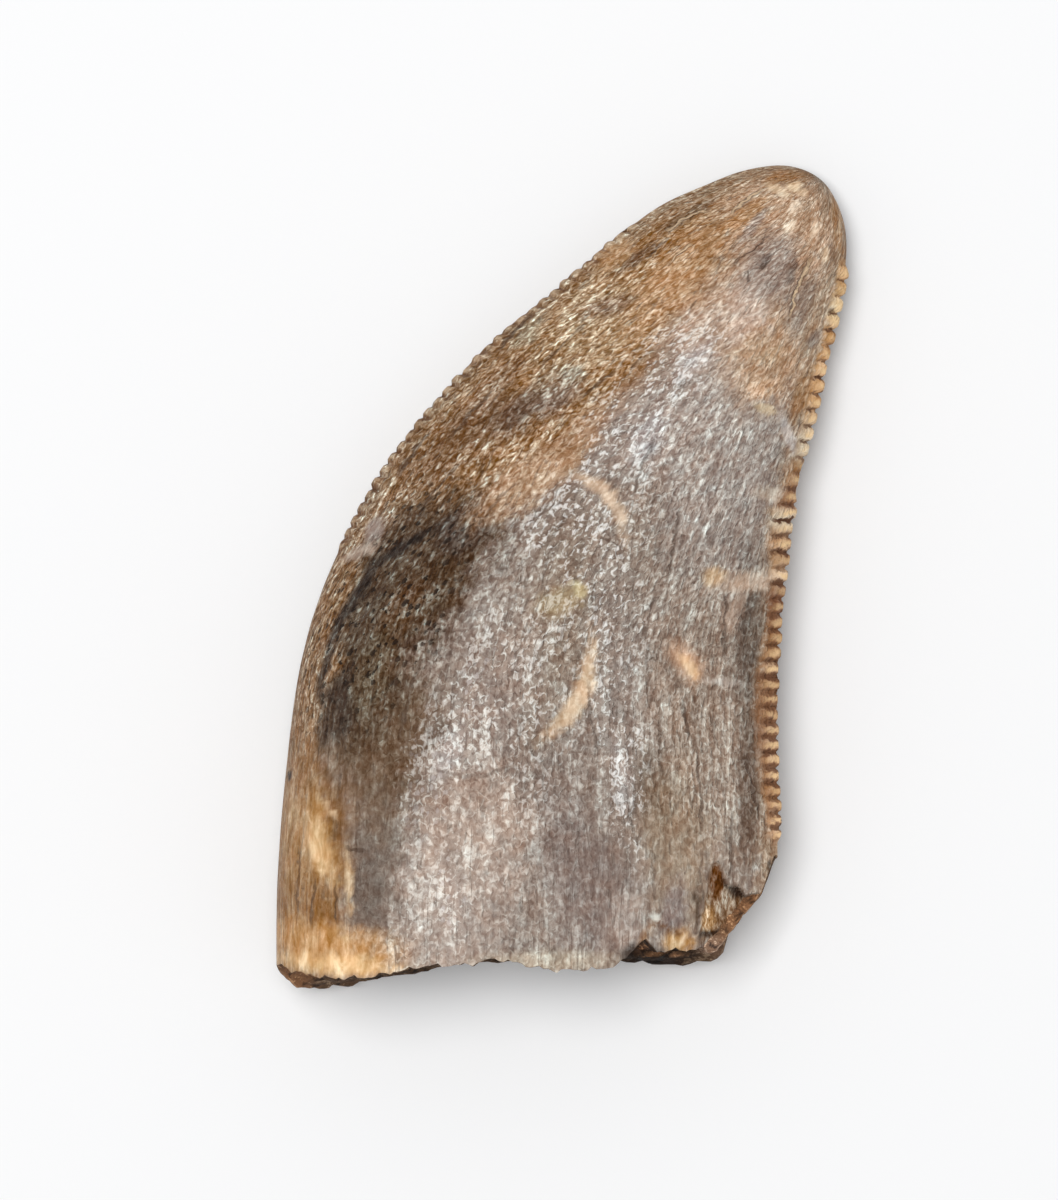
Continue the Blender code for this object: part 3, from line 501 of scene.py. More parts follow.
class Edge:
    """One edge of the blade, and the row of denticles on it.

    side is 1 where outwards is to the right of the way to the tip, and -1 where it is to the left.
    """

    def __init__(self, points, beyond, side, count, first_y, last_y, crowding):
        path = np.array(points + [TIP, beyond])
        self.path = np.vstack([2 * path[0] - path[1], path])
        self.side = side
        self.count = count
        self.crowding = crowding
        self.growths = np.linspace(0, GROWTH_END, LENGTH_SAMPLES)
        places = self.at(self.growths)
        steps = np.linalg.norm(np.diff(places, axis=0), axis=1)
        self.lengths = np.concatenate([[0], np.cumsum(steps)])
        rising = slice(0, int(LENGTH_SAMPLES * 0.9))
        self.first, self.last = (
            np.interp(y, places[rising, 1], self.lengths[rising]) for y in (first_y, last_y)
        )

    def at(self, growth):
        """Points at those places along a smooth curve through the edge's own points."""
        start = growth.astype(int)
        t = (growth - start)[..., None]
        before, a, b, after = (self.path[start + step] for step in range(4))
        return 0.5 * (
            2 * a
            + (b - before) * t
            + (2 * before - 5 * a + 4 * b - after) * t * t
            + (3 * a - before - 3 * b + after) * t * t * t
        )

    def length(self, growth):
        return np.interp(growth, self.growths, self.lengths)

    def pitch(self):
        return (self.first - self.last) / (self.count - 1)

    def place_in_row(self, growth):
        """0 at the top denticle, 1 at the next one down, and so on; the lower ones are closer together."""
        share = (self.first - self.length(growth)) / (self.first - self.last)
        return (self.count - 1) * share * (1 - self.crowding * (1 - share))

    def outward(self, growth):
        """The level direction away from the blade."""
        step = GROWTH_END / LENGTH_SAMPLES
        ahead = self.at(np.minimum(growth + step, GROWTH_END))
        onward = ahead - self.at(np.maximum(growth - step, 0))
        onward /= np.linalg.norm(onward, axis=-1, keepdims=True)
        return np.dstack([onward[..., 1] * self.side, -onward[..., 0] * self.side, np.zeros_like(growth)])


MESIAL = Edge(MESIAL_POINTS, DISTAL_POINTS[-1], side=-1, count=31, first_y=9.3, last_y=0.85, crowding=0)
DISTAL = Edge(DISTAL_POINTS, MESIAL_POINTS[-1], side=1, count=37, first_y=8.1, last_y=-6.75, crowding=0.07)


def rise(across, mesial, distal):
    """Height of a face at a share of the way across, 1 at its crest, from how sharp its two edges are."""
    crest = mesial / (mesial + distal)
    top = crest ** mesial * (1 - crest) ** distal
    return np.maximum(across, 0) ** mesial * np.maximum(1 - across, 0) ** distal / top


def roundness(pair, growth):
    body = mix(pair[0], pair[1], ease(growth, CARINA_FROM, CARINA_TO))
    return mix(body, TIP_ROUNDNESS, ease(growth, TIP_FROM, GROWTH_END))


def middle_height(width, across, growth):
    """Height of the sheet between the two faces, which holds the two edges."""
    bow = BASE_LIFT * ease(-growth, -LEVEL_AT, 0) + TIP_LIFT * ease(growth, LEVEL_AT, GROWTH_END)
    return width * (LINGUAL_SHARE + DISTAL_TURN * (across - 0.5)) + bow - REST_FLAT_DEPTH


def crown(turn, growth):
    """Points of the outside, with the share across, the width and the bulge from the middle at each.

    turn 0 is the mesial edge and pi the distal edge, over the outer face.
    """
    mesial, distal = MESIAL.at(growth), DISTAL.at(growth)
    width = np.linalg.norm(distal - mesial, axis=-1)
    across = (1 - np.cos(turn)) / 2
    front = roundness(MESIAL_ROUNDNESS, growth)
    outer = width * LABIAL_SHARE * rise(across, front, roundness(LABIAL_DISTAL_ROUNDNESS, growth))
    hollow = np.exp(-(((across - HOLLOW_ACROSS) / HOLLOW_HALF_WIDTH) ** 2))
    outer = outer - HOLLOW_DEPTH * (1 - ease(growth, 0, HOLLOW_TOP)) * hollow
    inner = -width * LINGUAL_SHARE * rise(across, front, roundness(LINGUAL_DISTAL_ROUNDNESS, growth))
    bulge = np.where(np.sin(turn) > 0, outer, inner)
    height = np.maximum(middle_height(width, across, growth) + bulge, 0)
    flat = mix(mesial, distal, across[..., None])
    return np.dstack([flat, height]), across, width, bulge


def break_y(x, turn):
    """Where the crown ends on that side of the section."""
    outer_share = np.clip(0.5 + 2.5 * np.sin(turn), 0, 1)
    outer = np.interp(x, *zip(*LABIAL_BREAK))
    inner = np.interp(x, *zip(*LINGUAL_BREAK))
    jags = sum(height * np.sin(waves * x + phase) for height, waves, phase in BREAK_JAGS)
    return mix(inner, outer, outer_share) + jags


def growth_at_break(turns):
    """The growth at which the outside meets the break, found by halving."""
    low, high = np.zeros((1, len(turns))), np.full((1, len(turns)), BREAK_BELOW)
    for _ in range(HALVINGS):
        middle = (low + high) / 2
        places = crown(turns, middle)[0]
        below = places[..., 1] < break_y(places[..., 0], turns)
        low, high = np.where(below, middle, low), np.where(below, high, middle)
    return high


def crown_growths(turns):
    """The growth of every row: even shares near the break, then steps that fit the distal denticles."""
    starts = growth_at_break(turns)
    shares = np.arange(LOWER_ROWS)[:, None] / LOWER_ROWS
    lower = mix(starts, LOWER_TOP, shares)
    step = DISTAL.pitch() / ROWS_PER_DENTICLE
    stops = np.arange(DISTAL.length(LOWER_TOP), DISTAL.lengths[-1] - step / 2, step)
    upper = np.interp(stops, DISTAL.lengths, DISTAL.growths)[:, None] + np.zeros_like(starts)
    return np.vstack([lower, upper])


def break_rings(rim):
    """Rings over the break from the innermost, its centre, and how far towards and inside the rim each is."""
    turn = np.array([[math.acos(1 - 2 * BREAK_CENTRE_ACROSS)]])
    top, bottom = (crown(side * turn, np.ones((1, 1)))[0][0, 0] for side in (1, -1))
    level = (np.interp(top[0], *zip(*LABIAL_BREAK)) + np.interp(top[0], *zip(*LINGUAL_BREAK))) / 2
    centre = np.array([top[0], level, (top[2] + bottom[2]) / 2])
    shares = 1 - (np.arange(BREAK_RINGS - 1, 0, -1) / BREAK_RINGS) ** BREAK_RING_POWER
    rings = mix(centre, rim, shares[:, None, None])
    rings[..., 1] += np.interp(shares, BREAK_SHARES, BREAK_DEPTHS)[:, None]
    inside = (1 - shares[:, None]) * np.linalg.norm(rim - centre, axis=-1)
    return rings, centre + (0, BREAK_DEPTHS[0], 0), shares[:, None] + np.zeros_like(inside), inside


def distance_into(outline, x, y):
    """How far inside an outline each point lies; outside it is below 0."""
    corners = np.array(outline)
    inside = np.zeros(x.shape, bool)
    nearest = np.full(x.shape, np.inf)
    for (x0, y0), (x1, y1) in zip(corners, np.roll(corners, -1, 0)):
        side_square = (x1 - x0) ** 2 + (y1 - y0) ** 2
        share = np.clip(((x - x0) * (x1 - x0) + (y - y0) * (y1 - y0)) / side_square, 0, 1)
        nearest = np.minimum(nearest, np.hypot(x - mix(x0, x1, share), y - mix(y0, y1, share)))
        if y0 != y1:
            inside ^= ((y0 > y) != (y1 > y)) & (x < mix(x0, x1, (y - y0) / (y1 - y0)))
    return np.where(inside, nearest, -nearest)


def tooth_surface():
    """The centre of the break, rings of points, the tip, and what later steps read at each point."""
    turns = np.concatenate([
        np.linspace(0, math.pi, LABIAL_COLUMNS, endpoint=False),
        np.linspace(math.pi, 2 * math.pi, LINGUAL_COLUMNS, endpoint=False),
    ])
    growth = crown_growths(turns)
    turn = np.broadcast_to(turns, growth.shape)
    places, across, width, bulge = crown(turn, growth)
    rings, centre, share, inside = break_rings(places[0])
    flake = ease(distance_into(FLAKE_OUTLINE, places[..., 0], places[..., 1]), 0, FLAKE_WALL)
    flake *= np.sin(turn) > 0
    places[..., 2] -= FLAKE_DEPTH * flake

    length = mix(MESIAL.length(growth), DISTAL.length(growth), across)
    fan = (across - 0.5) * (width[0].mean() + width) / 2
    none, whole, far = np.zeros_like(inside), np.ones_like(inside), np.full_like(inside, 99)
    values = {
        "grain": (rings, np.dstack([fan, length, bulge])),
        "outer_face": (whole, np.clip(0.5 + 4 * np.sin(turn), 0, 1)),
        "broken": (whole, np.zeros_like(growth)),
        "inside_rim": (inside, np.zeros_like(growth)),
        "pulp": (1 - ease(share, BREAK_SHARES[1], BREAK_SHARES[2]), np.zeros_like(growth)),
        "lost_flake": (none, flake),
        "distal_place": (far, DISTAL.place_in_row(growth)),
        "mesial_place": (far, MESIAL.place_in_row(growth)),
        "distal_reach": (none, np.interp(DISTAL.place_in_row(growth), *zip(*DENTICLE_REACHES))),
        "mesial_reach": (none, np.full_like(growth, MESIAL_REACH)),
        "distal_gap": (far, (1 - across) * width),
        "mesial_gap": (far, across * width),
        "distal_outward": (np.zeros_like(rings), DISTAL.outward(growth)),
        "mesial_outward": (np.zeros_like(rings), MESIAL.outward(growth)),
    }
    return centre, np.concatenate([rings, places]), np.array([*TIP, places[-1, :, 2].mean()]), values


def ring_faces(rings, columns):
    """Faces of a closed skin: a fan at the first point, bands between the rings, and a fan at the last."""
    ring = np.arange(columns)
    following = np.roll(ring, -1)
    starts = 1 + columns * np.arange(rings - 1)[:, None]
    here, beside = starts + ring, starts + following
    bands = np.dstack([here, beside, columns + beside, columns + here])
    last = 1 + columns * (rings - 1)
    first_fan = np.stack([np.zeros_like(ring), 1 + following, 1 + ring], 1)
    last_fan = np.stack([np.full_like(ring, last + columns), last + ring, last + following], 1)
    return first_fan.tolist() + bands.reshape(-1, 4).tolist() + last_fan.tolist()


def store_values(mesh, name, values):
    """Keeps one value or one vector for each point of the mesh, the two end points included."""
    rows = values.reshape(-1, values.shape[-1] if values.ndim == 3 else 1)
    rows = np.vstack([rows[:1], rows, rows[-1:]]).astype(np.float32)
    kind, field = ("FLOAT_VECTOR", "vector") if values.ndim == 3 else ("FLOAT", "value")
    mesh.attributes.new(name, kind, "POINT").data.foreach_set(field, rows.ravel())


def tooth_mesh():
    """The tooth before its relief, with its box centred where the solid's is."""
    centre, rings, tip, values = tooth_surface()
    points = np.vstack([centre, rings.reshape(-1, 3), tip]) * MM
    solid_middle = np.array(TOOTH_BOX).mean(0)
    points[:, :2] += (solid_middle - (points.min(0) + points.max(0)) / 2)[:2]
    mesh = bpy.data.meshes.new("fossil_tooth")
    mesh.from_pydata(points.tolist(), [], ring_faces(*rings.shape[:2]))
    for name, parts in values.items():
        store_values(mesh, name, np.concatenate(parts))
    mesh.shade_smooth()
    return mesh


class Value:
    """What a node puts out. A sum or a product of values is one more node of the same tree."""

    def __init__(self, nodes, socket):
        self.nodes = nodes
        self.socket = socket

    def join(self, operation, *values):
        kinds = [each.socket.type if isinstance(each, Value) else type(each) for each in values]
        if any(kind in ("VECTOR", "RGBA", tuple) for kind in kinds):
            return self.nodes.vectors(operation, *values)
        return self.nodes.maths(operation, *values)

    def __add__(self, other):
        return self.join("ADD", self, other)

    def __sub__(self, other):
        return self.join("SUBTRACT", self, other)

    def __rsub__(self, other):
        return self.join("SUBTRACT", other, self)

    def __mul__(self, other):
        scales = isinstance(other, (int, float)) or isinstance(other, Value) and other.socket.type == "VALUE"
        if self.socket.type == "VECTOR" and scales:
            return self.nodes.vectors("SCALE", self, scale=other)
        return self.join("MULTIPLY", self, other)

    __radd__, __rmul__ = __add__, __mul__

    def __truediv__(self, other):
        return self.join("DIVIDE", self, other)

    def __pow__(self, other):
        return self.join("POWER", self, other)

    def __rpow__(self, other):
        return self.join("POWER", other, self)

    def __abs__(self):
        return self.join("ABSOLUTE", self)

    def __round__(self):
        return self.join("ROUND", self)


class Nodes:
    """Adds nodes to one tree, each input fed by a number, a colour or a Value."""

    A_ROW, ACROSS, DOWN = 12, 200, 320  # how the nodes are laid out in the editor
    MIX_SOCKETS = {"FLOAT": (2, 3, 0), "VECTOR": (4, 5, 1), "RGBA": (6, 7, 2)}

    def __init__(self, tree):
        self.tree = tree

    def add(self, kind, inputs=None, **settings):
        number = len(self.tree.nodes)
        node = self.tree.nodes.new(kind)
        node.location = (number % self.A_ROW * self.ACROSS, -(number // self.A_ROW) * self.DOWN)
        for name, value in settings.items():
            setattr(node, name, value)
        for key, value in (inputs or {}).items():
            self.feed(node.inputs[key], value)
        return node

    def value(self, kind, inputs=None, output=0, **settings):
        return Value(self, self.add(kind, inputs, **settings).outputs[output])

    def feed(self, socket, value):
        if isinstance(value, Value):
            self.tree.links.new(value.socket, socket)
        elif socket.type == "RGBA":
            socket.default_value = (*value, 1)
        else:
            socket.default_value = value

    def named(self, kind, inputs=None, **settings):
        """All that a new node puts out, by name."""
        return {socket.name: Value(self, socket) for socket in self.add(kind, inputs, **settings).outputs}

    def group(self, tree, inputs):
        kind = "ShaderNodeGroup" if tree.bl_idname == "ShaderNodeTree" else "GeometryNodeGroup"
        return self.named(kind, inputs, node_tree=tree)

    def maths(self, operation, *values):
        return self.value("ShaderNodeMath", dict(enumerate(values)), operation=operation)

    def vectors(self, operation, *values, scale=None):
        inputs = dict(enumerate(values))
        if scale is not None:
            inputs["Scale"] = scale
        output = "Value" if operation == "DOT_PRODUCT" else "Vector"
        return self.value("ShaderNodeVectorMath", inputs, output, operation=operation)

    def vector(self, *values):
        return self.value("ShaderNodeCombineXYZ", dict(enumerate(values)))

    def parts(self, vector):
        return self.named("ShaderNodeSeparateXYZ", {0: vector}).values()

    def step(self, value, low, high, first=0.0, last=1.0):
        """From first to last in a smooth step, as the value goes from low to high."""
        inputs = {0: value, 1: low, 2: high, 3: first, 4: last}
        return self.value("ShaderNodeMapRange", inputs, interpolation_type="SMOOTHSTEP")

    def mix(self, share, first, second, kind="RGBA"):
        low, high, result = self.MIX_SOCKETS[kind]
        return self.value("ShaderNodeMix", {0: share, low: first, high: second}, result, data_type=kind)

    def noise(self, vector, scale, detail=2.0, roughness=0.5, distortion=0.0, output=0):
        """A noise texture's value, or with output 1 three values as a colour."""
        return self.value("ShaderNodeTexNoise", {
            "Vector": vector, "Scale": scale, "Detail": detail, "Roughness": roughness,
            "Distortion": distortion,
        }, output)


def socket_kind(default):
    """The kind of socket that starts with that value. A word is the kind itself, of one without a value."""
    if isinstance(default, tuple):
        return "Vector" if len(default) == 3 else "Color"
    return default if isinstance(default, str) else type(default).__name__.capitalize()


def new_tree(name, kind, inputs, outputs):
    """A group with named inputs and outputs, and what its nodes connect to."""
    tree = bpy.data.node_groups.new(name, kind)
    for label, default in inputs.items():
        socket_type = "NodeSocket" + socket_kind(default)
        item = tree.interface.new_socket(label, in_out="INPUT", socket_type=socket_type)
        if not isinstance(default, str):
            item.default_value = default
    for label, socket in outputs.items():
        tree.interface.new_socket(label, in_out="OUTPUT", socket_type="NodeSocket" + socket)
    nodes = Nodes(tree)
    return nodes, nodes.named("NodeGroupInput"), nodes.add("NodeGroupOutput").inputs


def new_modifier_tree(name, inputs):
    """A tree that works on a piece's mesh and gives it a material."""
    inputs = {"Geometry": "Geometry", **inputs, "Material": "Material"}
    return new_tree(name, "GeometryNodeTree", inputs, {"Geometry": "Geometry"})


def stored(nodes, name, kind="FLOAT"):
    """A value kept on the points, in a geometry tree."""
    return nodes.value("GeometryNodeInputNamedAttribute", {"Name": name}, "Attribute", data_type=kind)


def storing(nodes, geometry, name, value, kind="FLOAT_VECTOR"):
    """The geometry with a value kept on its points."""
    inputs = {"Geometry": geometry, "Name": name, "Value": value}
    return nodes.value("GeometryNodeStoreNamedAttribute", inputs, data_type=kind, domain="POINT")


def moved(nodes, geometry, offset):
    """The geometry with its points moved, and none of them below the ground."""
    shifted = nodes.value("GeometryNodeSetPosition", {"Geometry": geometry, "Offset": offset})
    x, y, z = nodes.parts(nodes.value("GeometryNodeInputPosition"))
    above = nodes.vector(x, y, nodes.maths("MAXIMUM", z, 0.0))
    return nodes.value("GeometryNodeSetPosition", {"Geometry": shifted, "Position": above})


def realized(nodes, geometry, end, material, selection=True):
    """Ends a tree: what it made is real mesh, and has its material."""
    real = nodes.value("GeometryNodeRealizeInstances", {0: geometry})
    inputs = {"Geometry": real, "Selection": selection, "Material": material}
    nodes.feed(end["Geometry"], nodes.value("GeometryNodeSetMaterial", inputs))
    return nodes.tree


def denticle_row_tree():
    """Rounded denticles along one edge, one at each whole number of the place in the row."""
    nodes, given, end = new_modifier_tree("denticle_row", {
        "Place in row": "String", "Gap to edge": "String", "Outward": "String", "Reach": "String",
        "Count": 30, "Stand out": 0.00015, "Lift": 0.00004, "Slot depth": 0.0001, "Slot share": 0.3,
        "Slant at the top": 0.0, "Slant at the foot": 0.0, "Unevenness": 0.25, "Worn place": -9.0, "Seed": 1,
    })
    straight = stored(nodes, given["Place in row"])
    gap_mm = stored(nodes, given["Gap to edge"])
    gap = gap_mm * MM
    share = straight / given["Count"]
    slant = nodes.mix(share, given["Slant at the top"], given["Slant at the foot"], "FLOAT")
    place = slant * gap_mm + straight
    number = round(place)
    aside = abs(place - number) * 2.0
    dome = 1.0 - aside ** 3.0
    slot = nodes.step(aside, 1.0 - given["Slot share"], 1.0)
    uneven = nodes.value("FunctionNodeRandomValue", {
        2: 1.0 - given["Unevenness"], 3: 1.0, "ID": number, "Seed": given["Seed"],
    }, 1)
    whole = nodes.step(abs(place - given["Worn place"]), 0.8, 1.6, 0.15, 1.0)
    in_row = nodes.step(place, -0.7, 0.3) * nodes.step(given["Count"] - place, 0.3, 1.3) * whole
    reach = stored(nodes, given["Reach"]) * MM
    half_reach = reach * 0.5
    at_edge = nodes.step(gap, 0.0, half_reach, 1.0, 0.0)
    on_face = nodes.step(gap, half_reach, reach, 1.0, 0.0)
    in_slot = nodes.step(gap, half_reach * 0.7, reach, 1.0, 0.0)
    out = given["Stand out"] * (dome * 0.45 + 0.55) * uneven * at_edge * in_row
    raised = given["Lift"] * dome * uneven * on_face * in_row
    cut = given["Slot depth"] * slot * in_slot * in_row
    up = nodes.value("GeometryNodeInputNormal") * (raised - cut)
    shaped = moved(nodes, given["Geometry"], up + stored(nodes, given["Outward"], "FLOAT_VECTOR") * out)
    return realized(nodes, shaped, end, given["Material"])


def growth_relief_tree():
    """Low ridges that run along the crown, broad lumps, and the rough floor of the lost flake."""
    nodes, given, end = new_modifier_tree("growth_relief", {
        "Ridge height": 0.00003, "Lump height": 0.00005, "Flake roughness": 0.0001, "Edge width": 0.0006,
    })
    grain = stored(nodes, "grain", "FLOAT_VECTOR")
    nearest = nodes.maths("MINIMUM", stored(nodes, "distal_gap"), stored(nodes, "mesial_gap"))
    on_face = nodes.step(nearest, 0.0, given["Edge width"] * (1 / MM), 0.25, 1.0)
    streaks = nodes.noise(grain * (1.5, 0.28, 1.5), 1.0, 2.0)
    lumps = nodes.noise(grain * (0.8, 0.55, 0.8), 1.0, 3.0, 0.6, 0.4)
    crumbs = nodes.noise(grain * (3.2, 1.6, 3.2), 1.0, 3.0, 0.65, 0.8)
    ridge = (streaks - 0.5) * given["Ridge height"] * 2.0
    lump = (lumps - 0.5) * given["Lump height"] * 2.0
    crown_relief = (ridge + lump) * on_face * (1.0 - stored(nodes, "broken"))
    crumb = (crumbs - 0.5) * given["Flake roughness"] * 2.0 * stored(nodes, "lost_flake")
    offset = nodes.value("GeometryNodeInputNormal") * (crown_relief + crumb)
    return realized(nodes, moved(nodes, given["Geometry"], offset), end, given["Material"])


def break_relief_tree():
    """The broken face: a rim of enamel, rough dentine sunk inside it, and grains in the pulp hollow."""
    nodes, given, end = new_modifier_tree("break_relief", {
        "Rim width": 0.00018, "Sink": 0.00006, "Coarse height": 0.00025, "Grain height": 0.0001,
    })
    broken = stored(nodes, "broken")
    place = nodes.value("GeometryNodeInputPosition") * (1 / MM)
    inside = stored(nodes, "inside_rim") * MM
    rim = given["Rim width"]
    past_rim = nodes.step(inside, rim * 0.7, rim * 1.5)
    coarse = nodes.noise(place, 1.3, 4.0, 0.55, 0.6) - 0.5
    fine = nodes.noise(place, 5.0, 3.0, 0.6) - 0.5
    lumps = 0.4 - nodes.value("ShaderNodeTexVoronoi", {"Vector": place, "Scale": 2.6}, "Distance")
    grain = fine + lumps * stored(nodes, "pulp")
    broad = coarse * given["Coarse height"] * nodes.step(inside, 0.0, rim * 4.0)
    height = broad + (grain * given["Grain height"] - given["Sink"]) * past_rim
    offset = nodes.value("GeometryNodeInputNormal") * (height * broken)
    is_broken = nodes.value("FunctionNodeCompare", {0: broken, 1: 0.4}, operation="GREATER_THAN")
    return realized(nodes, moved(nodes, given["Geometry"], offset), end, given["Material"], is_broken)


# The inputs that an ellipse and a line have in common.
AXES = {"Position": "Vector", "Place": "Vector", "Long axis": (1, 0, 0), "Short axis": (0, 1, 0), "Bend": 0.0}


def along_and_aside(nodes, given):
    """How far along the long axis a point is, and how far aside of it, where the axis is bent."""
    local = given["Position"] - given["Place"]
    along = nodes.vectors("DOT_PRODUCT", local, given["Long axis"])
    return along, nodes.vectors("DOT_PRODUCT", local, given["Short axis"]) + along * along * given["Bend"]


def soft_mark_group():
    """1 inside an ellipse with a ragged edge and 0 outside it. Each axis is divided by the reach there."""
    nodes, given, end = new_tree("soft mark", "GeometryNodeTree", {
        **AXES, "Ragged": 0.0, "Soft": 0.5, "Strength": 1.0,
    }, {"Mask": "Float"})
    along, aside = along_and_aside(nodes, given)
    uneven = nodes.maths("SQRT", aside * aside + along * along) + given["Ragged"]
    mask = nodes.step(uneven, 1.0 - given["Soft"], 1.0 + given["Soft"], given["Strength"], 0.0)
    nodes.feed(end["Mask"], mask)
    return nodes.tree


def fine_line_group():
    """How far aside of a line a point is, in half widths, and how dark and how pale the line is there."""
    nodes, given, end = new_tree("fine line", "GeometryNodeTree", {
        **AXES, "Half width": 0.03, "Dark": 1.0, "Pale": 0.0,
    }, {"Line": "Vector", "Here": "Float"})
    along, aside = along_and_aside(nodes, given)
    strength = nodes.step(abs(aside), 0.15, 0.3, 1.0, 0.0) * nodes.step(abs(along), 0.6, 1.0, 1.0, 0.0)
    line = nodes.vector(aside / given["Half width"], strength * given["Dark"], strength * given["Pale"])
    nodes.feed(end["Line"], line)
    nodes.feed(end["Here"], nodes.maths("GREATER_THAN", strength, 0.0))
    return nodes.tree


def ragged_places(nodes, position, spread, nudge):
    """The place pushed about widely and a little, for uneven edges, and a value that goes with it."""
    broad = nodes.noise(position, 0.7, 2.0, 0.6, output=1) - (0.5, 0.5, 0.5)
    fine = nodes.noise(position, 3.3, 3.0, 0.65, output=1) - (0.5, 0.5, 0.5)
    nudged = position + fine * nudge
    return nudged + broad * spread, nudged, nodes.noise(position, 3.3, 3.0, 0.65) - 0.5


def ellipse_axes(lean, reach):
    """The group inputs for an ellipse that leans by that many degrees and reaches that far."""
    turn = math.radians(lean)
    return {
        "Long axis": (math.cos(turn) / reach[0], math.sin(turn) / reach[0], 0),
        "Short axis": (-math.sin(turn) / reach[1], math.cos(turn) / reach[1], 0),
    }


def inner_face_colour(nodes, grain, given):
    """The hidden face: the same browns and greys, in long mottled stripes."""
    stretched = grain * (0.55, 0.16, 0.55)
    broad = nodes.noise(stretched, 1.0, 4.0, 0.55, 0.5)
    patches = nodes.noise(stretched + (7.0, 3.0, 1.0), 1.7, 4.0, 0.6, 0.8)
    colour = nodes.mix(nodes.step(broad, 0.4, 0.62), given["Inner brown"], given["Inner tan"])
    return nodes.mix(nodes.step(patches, 0.55, 0.68), colour, given["Inner grey"])


def crown_colours_tree():
    """Keeps each point's colour and fine line, and how strong, beaded, spotted and shiny its grain is."""
    nodes, given, end = new_modifier_tree("crown_colours", {
        "Ground": (0.3, 0.25, 0.2, 1), "Mesial band": (0.3, 0.2, 0.1, 1), "Distal band": (0.3, 0.2, 0.1, 1),
        "Inner tan": (0.3, 0.25, 0.2, 1), "Inner brown": (0.2, 0.1, 0.1, 1), "Inner grey": (0.3, 0.3, 0.3, 1),
        "Spread": 1.2, "Nudge": 0.35, "Raggedness": 0.9,
    })
    mark_tree, line_tree = soft_mark_group(), fine_line_group()
    place = nodes.value("GeometryNodeInputPosition") * (1 / MM)
    pushed, nudged, uneven = ragged_places(nodes, place, given["Spread"], given["Nudge"])

    def masked(mark, position, **more):
        return nodes.group(mark_tree, {
            "Position": position, "Place": (*mark.place, 0), **ellipse_axes(mark.lean, mark.reach),
            "Bend": mark.bend, "Soft": mark.soft, **more,
        })["Mask"]

    ragged = uneven * given["Raggedness"]
    colour, left = given["Ground"], 1.0
    for mark in MARKS:
        position = nudged if min(mark.reach) < SMALL_MARK else pushed
        mask = masked(mark, position, Ragged=ragged, Strength=mark.strength)
        if mark.within:
            mask *= stored(nodes, mark.within)
        colour = nodes.mix(mask, colour, mark.colour)
        if mark.calm:
            left *= mask * -mark.calm + 1.0
        if mark.name == BANDS_AFTER:
            for gap, label, low, high in EDGE_BANDS:
                edge = uneven * 0.9 + stored(nodes, gap)
                colour = nodes.mix(nodes.step(edge, low, high, 0.85, 0.0), colour, given[label])
    tint = (1.0, 1.0, 1.0)
    for mark in BREAK_MARKS:
        tint = nodes.mix(masked(mark, nudged, Ragged=ragged), tint, mark.colour, "VECTOR")
    grain, shine = GROUND_GRAIN, 0.0
    for field in GRAIN_FIELDS:
        mask = masked(field, pushed)
        grain = nodes.mix(mask, grain, field.grain, "VECTOR")
        shine = nodes.mix(mask, shine, field.shine, "FLOAT")
    line = (0.0, 0.0, 0.0)
    for each in LINES:
        found = nodes.group(line_tree, {
            "Position": nudged, "Place": (*each.place, 0), **ellipse_axes(each.lean, (each.half_length, 1)),
            "Bend": each.bend, "Half width": each.half_width, "Dark": each.dark, "Pale": each.pale,
        })
        line = nodes.mix(found["Here"], line, found["Line"], "VECTOR")
    outer = stored(nodes, "outer_face")
    hidden = inner_face_colour(nodes, stored(nodes, "grain", "FLOAT_VECTOR"), given)
    crown_colour = nodes.mix(outer, hidden, colour)
    all_colour = nodes.mix(stored(nodes, "broken"), crown_colour, tint, "VECTOR")
    kinds = nodes.mix(outer, GROUND_GRAIN, grain * nodes.vector(left, 1.0, left), "VECTOR")
    geometry = storing(nodes, given["Geometry"], "mark_colour", all_colour)
    geometry = storing(nodes, geometry, "grain_kind", kinds)
    geometry = storing(nodes, geometry, "shine", shine * outer * left, "FLOAT")
    geometry = storing(nodes, geometry, "line", line * outer)
    return realized(nodes, geometry, end, given["Material"])


def new_piece(name, data):
    """A new object in the scene."""
    piece = bpy.data.objects.new(name, data)
    bpy.context.scene.collection.objects.link(piece)
    return piece


def add_relief(piece, tree, values):
    """Runs a tree on a piece as a modifier, with the tree's inputs set by their names."""
    modifier = piece.modifiers.new(tree.name, "NODES")
    modifier.node_group = tree
    for item in tree.interface.items_tree:
        if item.in_out == "INPUT" and item.name in values:
            modifier[item.identifier] = values[item.name]


def settle(piece):
    """Turns what the modifiers make into the piece's own mesh."""
    depsgraph = bpy.context.evaluated_depsgraph_get()
    evaluated = piece.evaluated_get(depsgraph)
    mesh = bpy.data.meshes.new_from_object(evaluated, preserve_all_data_layers=True, depsgraph=depsgraph)
    piece.modifiers.clear()
    first = piece.data
    piece.data = mesh
    bpy.data.meshes.remove(first)
    mesh.name = piece.name
    for name in ("broken", "distal_outward", "mesial_outward"):
        mesh.attributes.remove(mesh.attributes[name])
    mesh.shade_smooth()
    mesh.set_sharp_from_angle(angle=SHARP_FROM)


def kept(nodes, name, output="Fac"):
    """A value kept on the points, in a material."""
    return nodes.value("ShaderNodeAttribute", output=output, attribute_name=name)


def object_place(nodes):
    """The place on the piece, in millimetres."""
    return nodes.value("ShaderNodeTexCoord", output="Object") * (1 / MM)


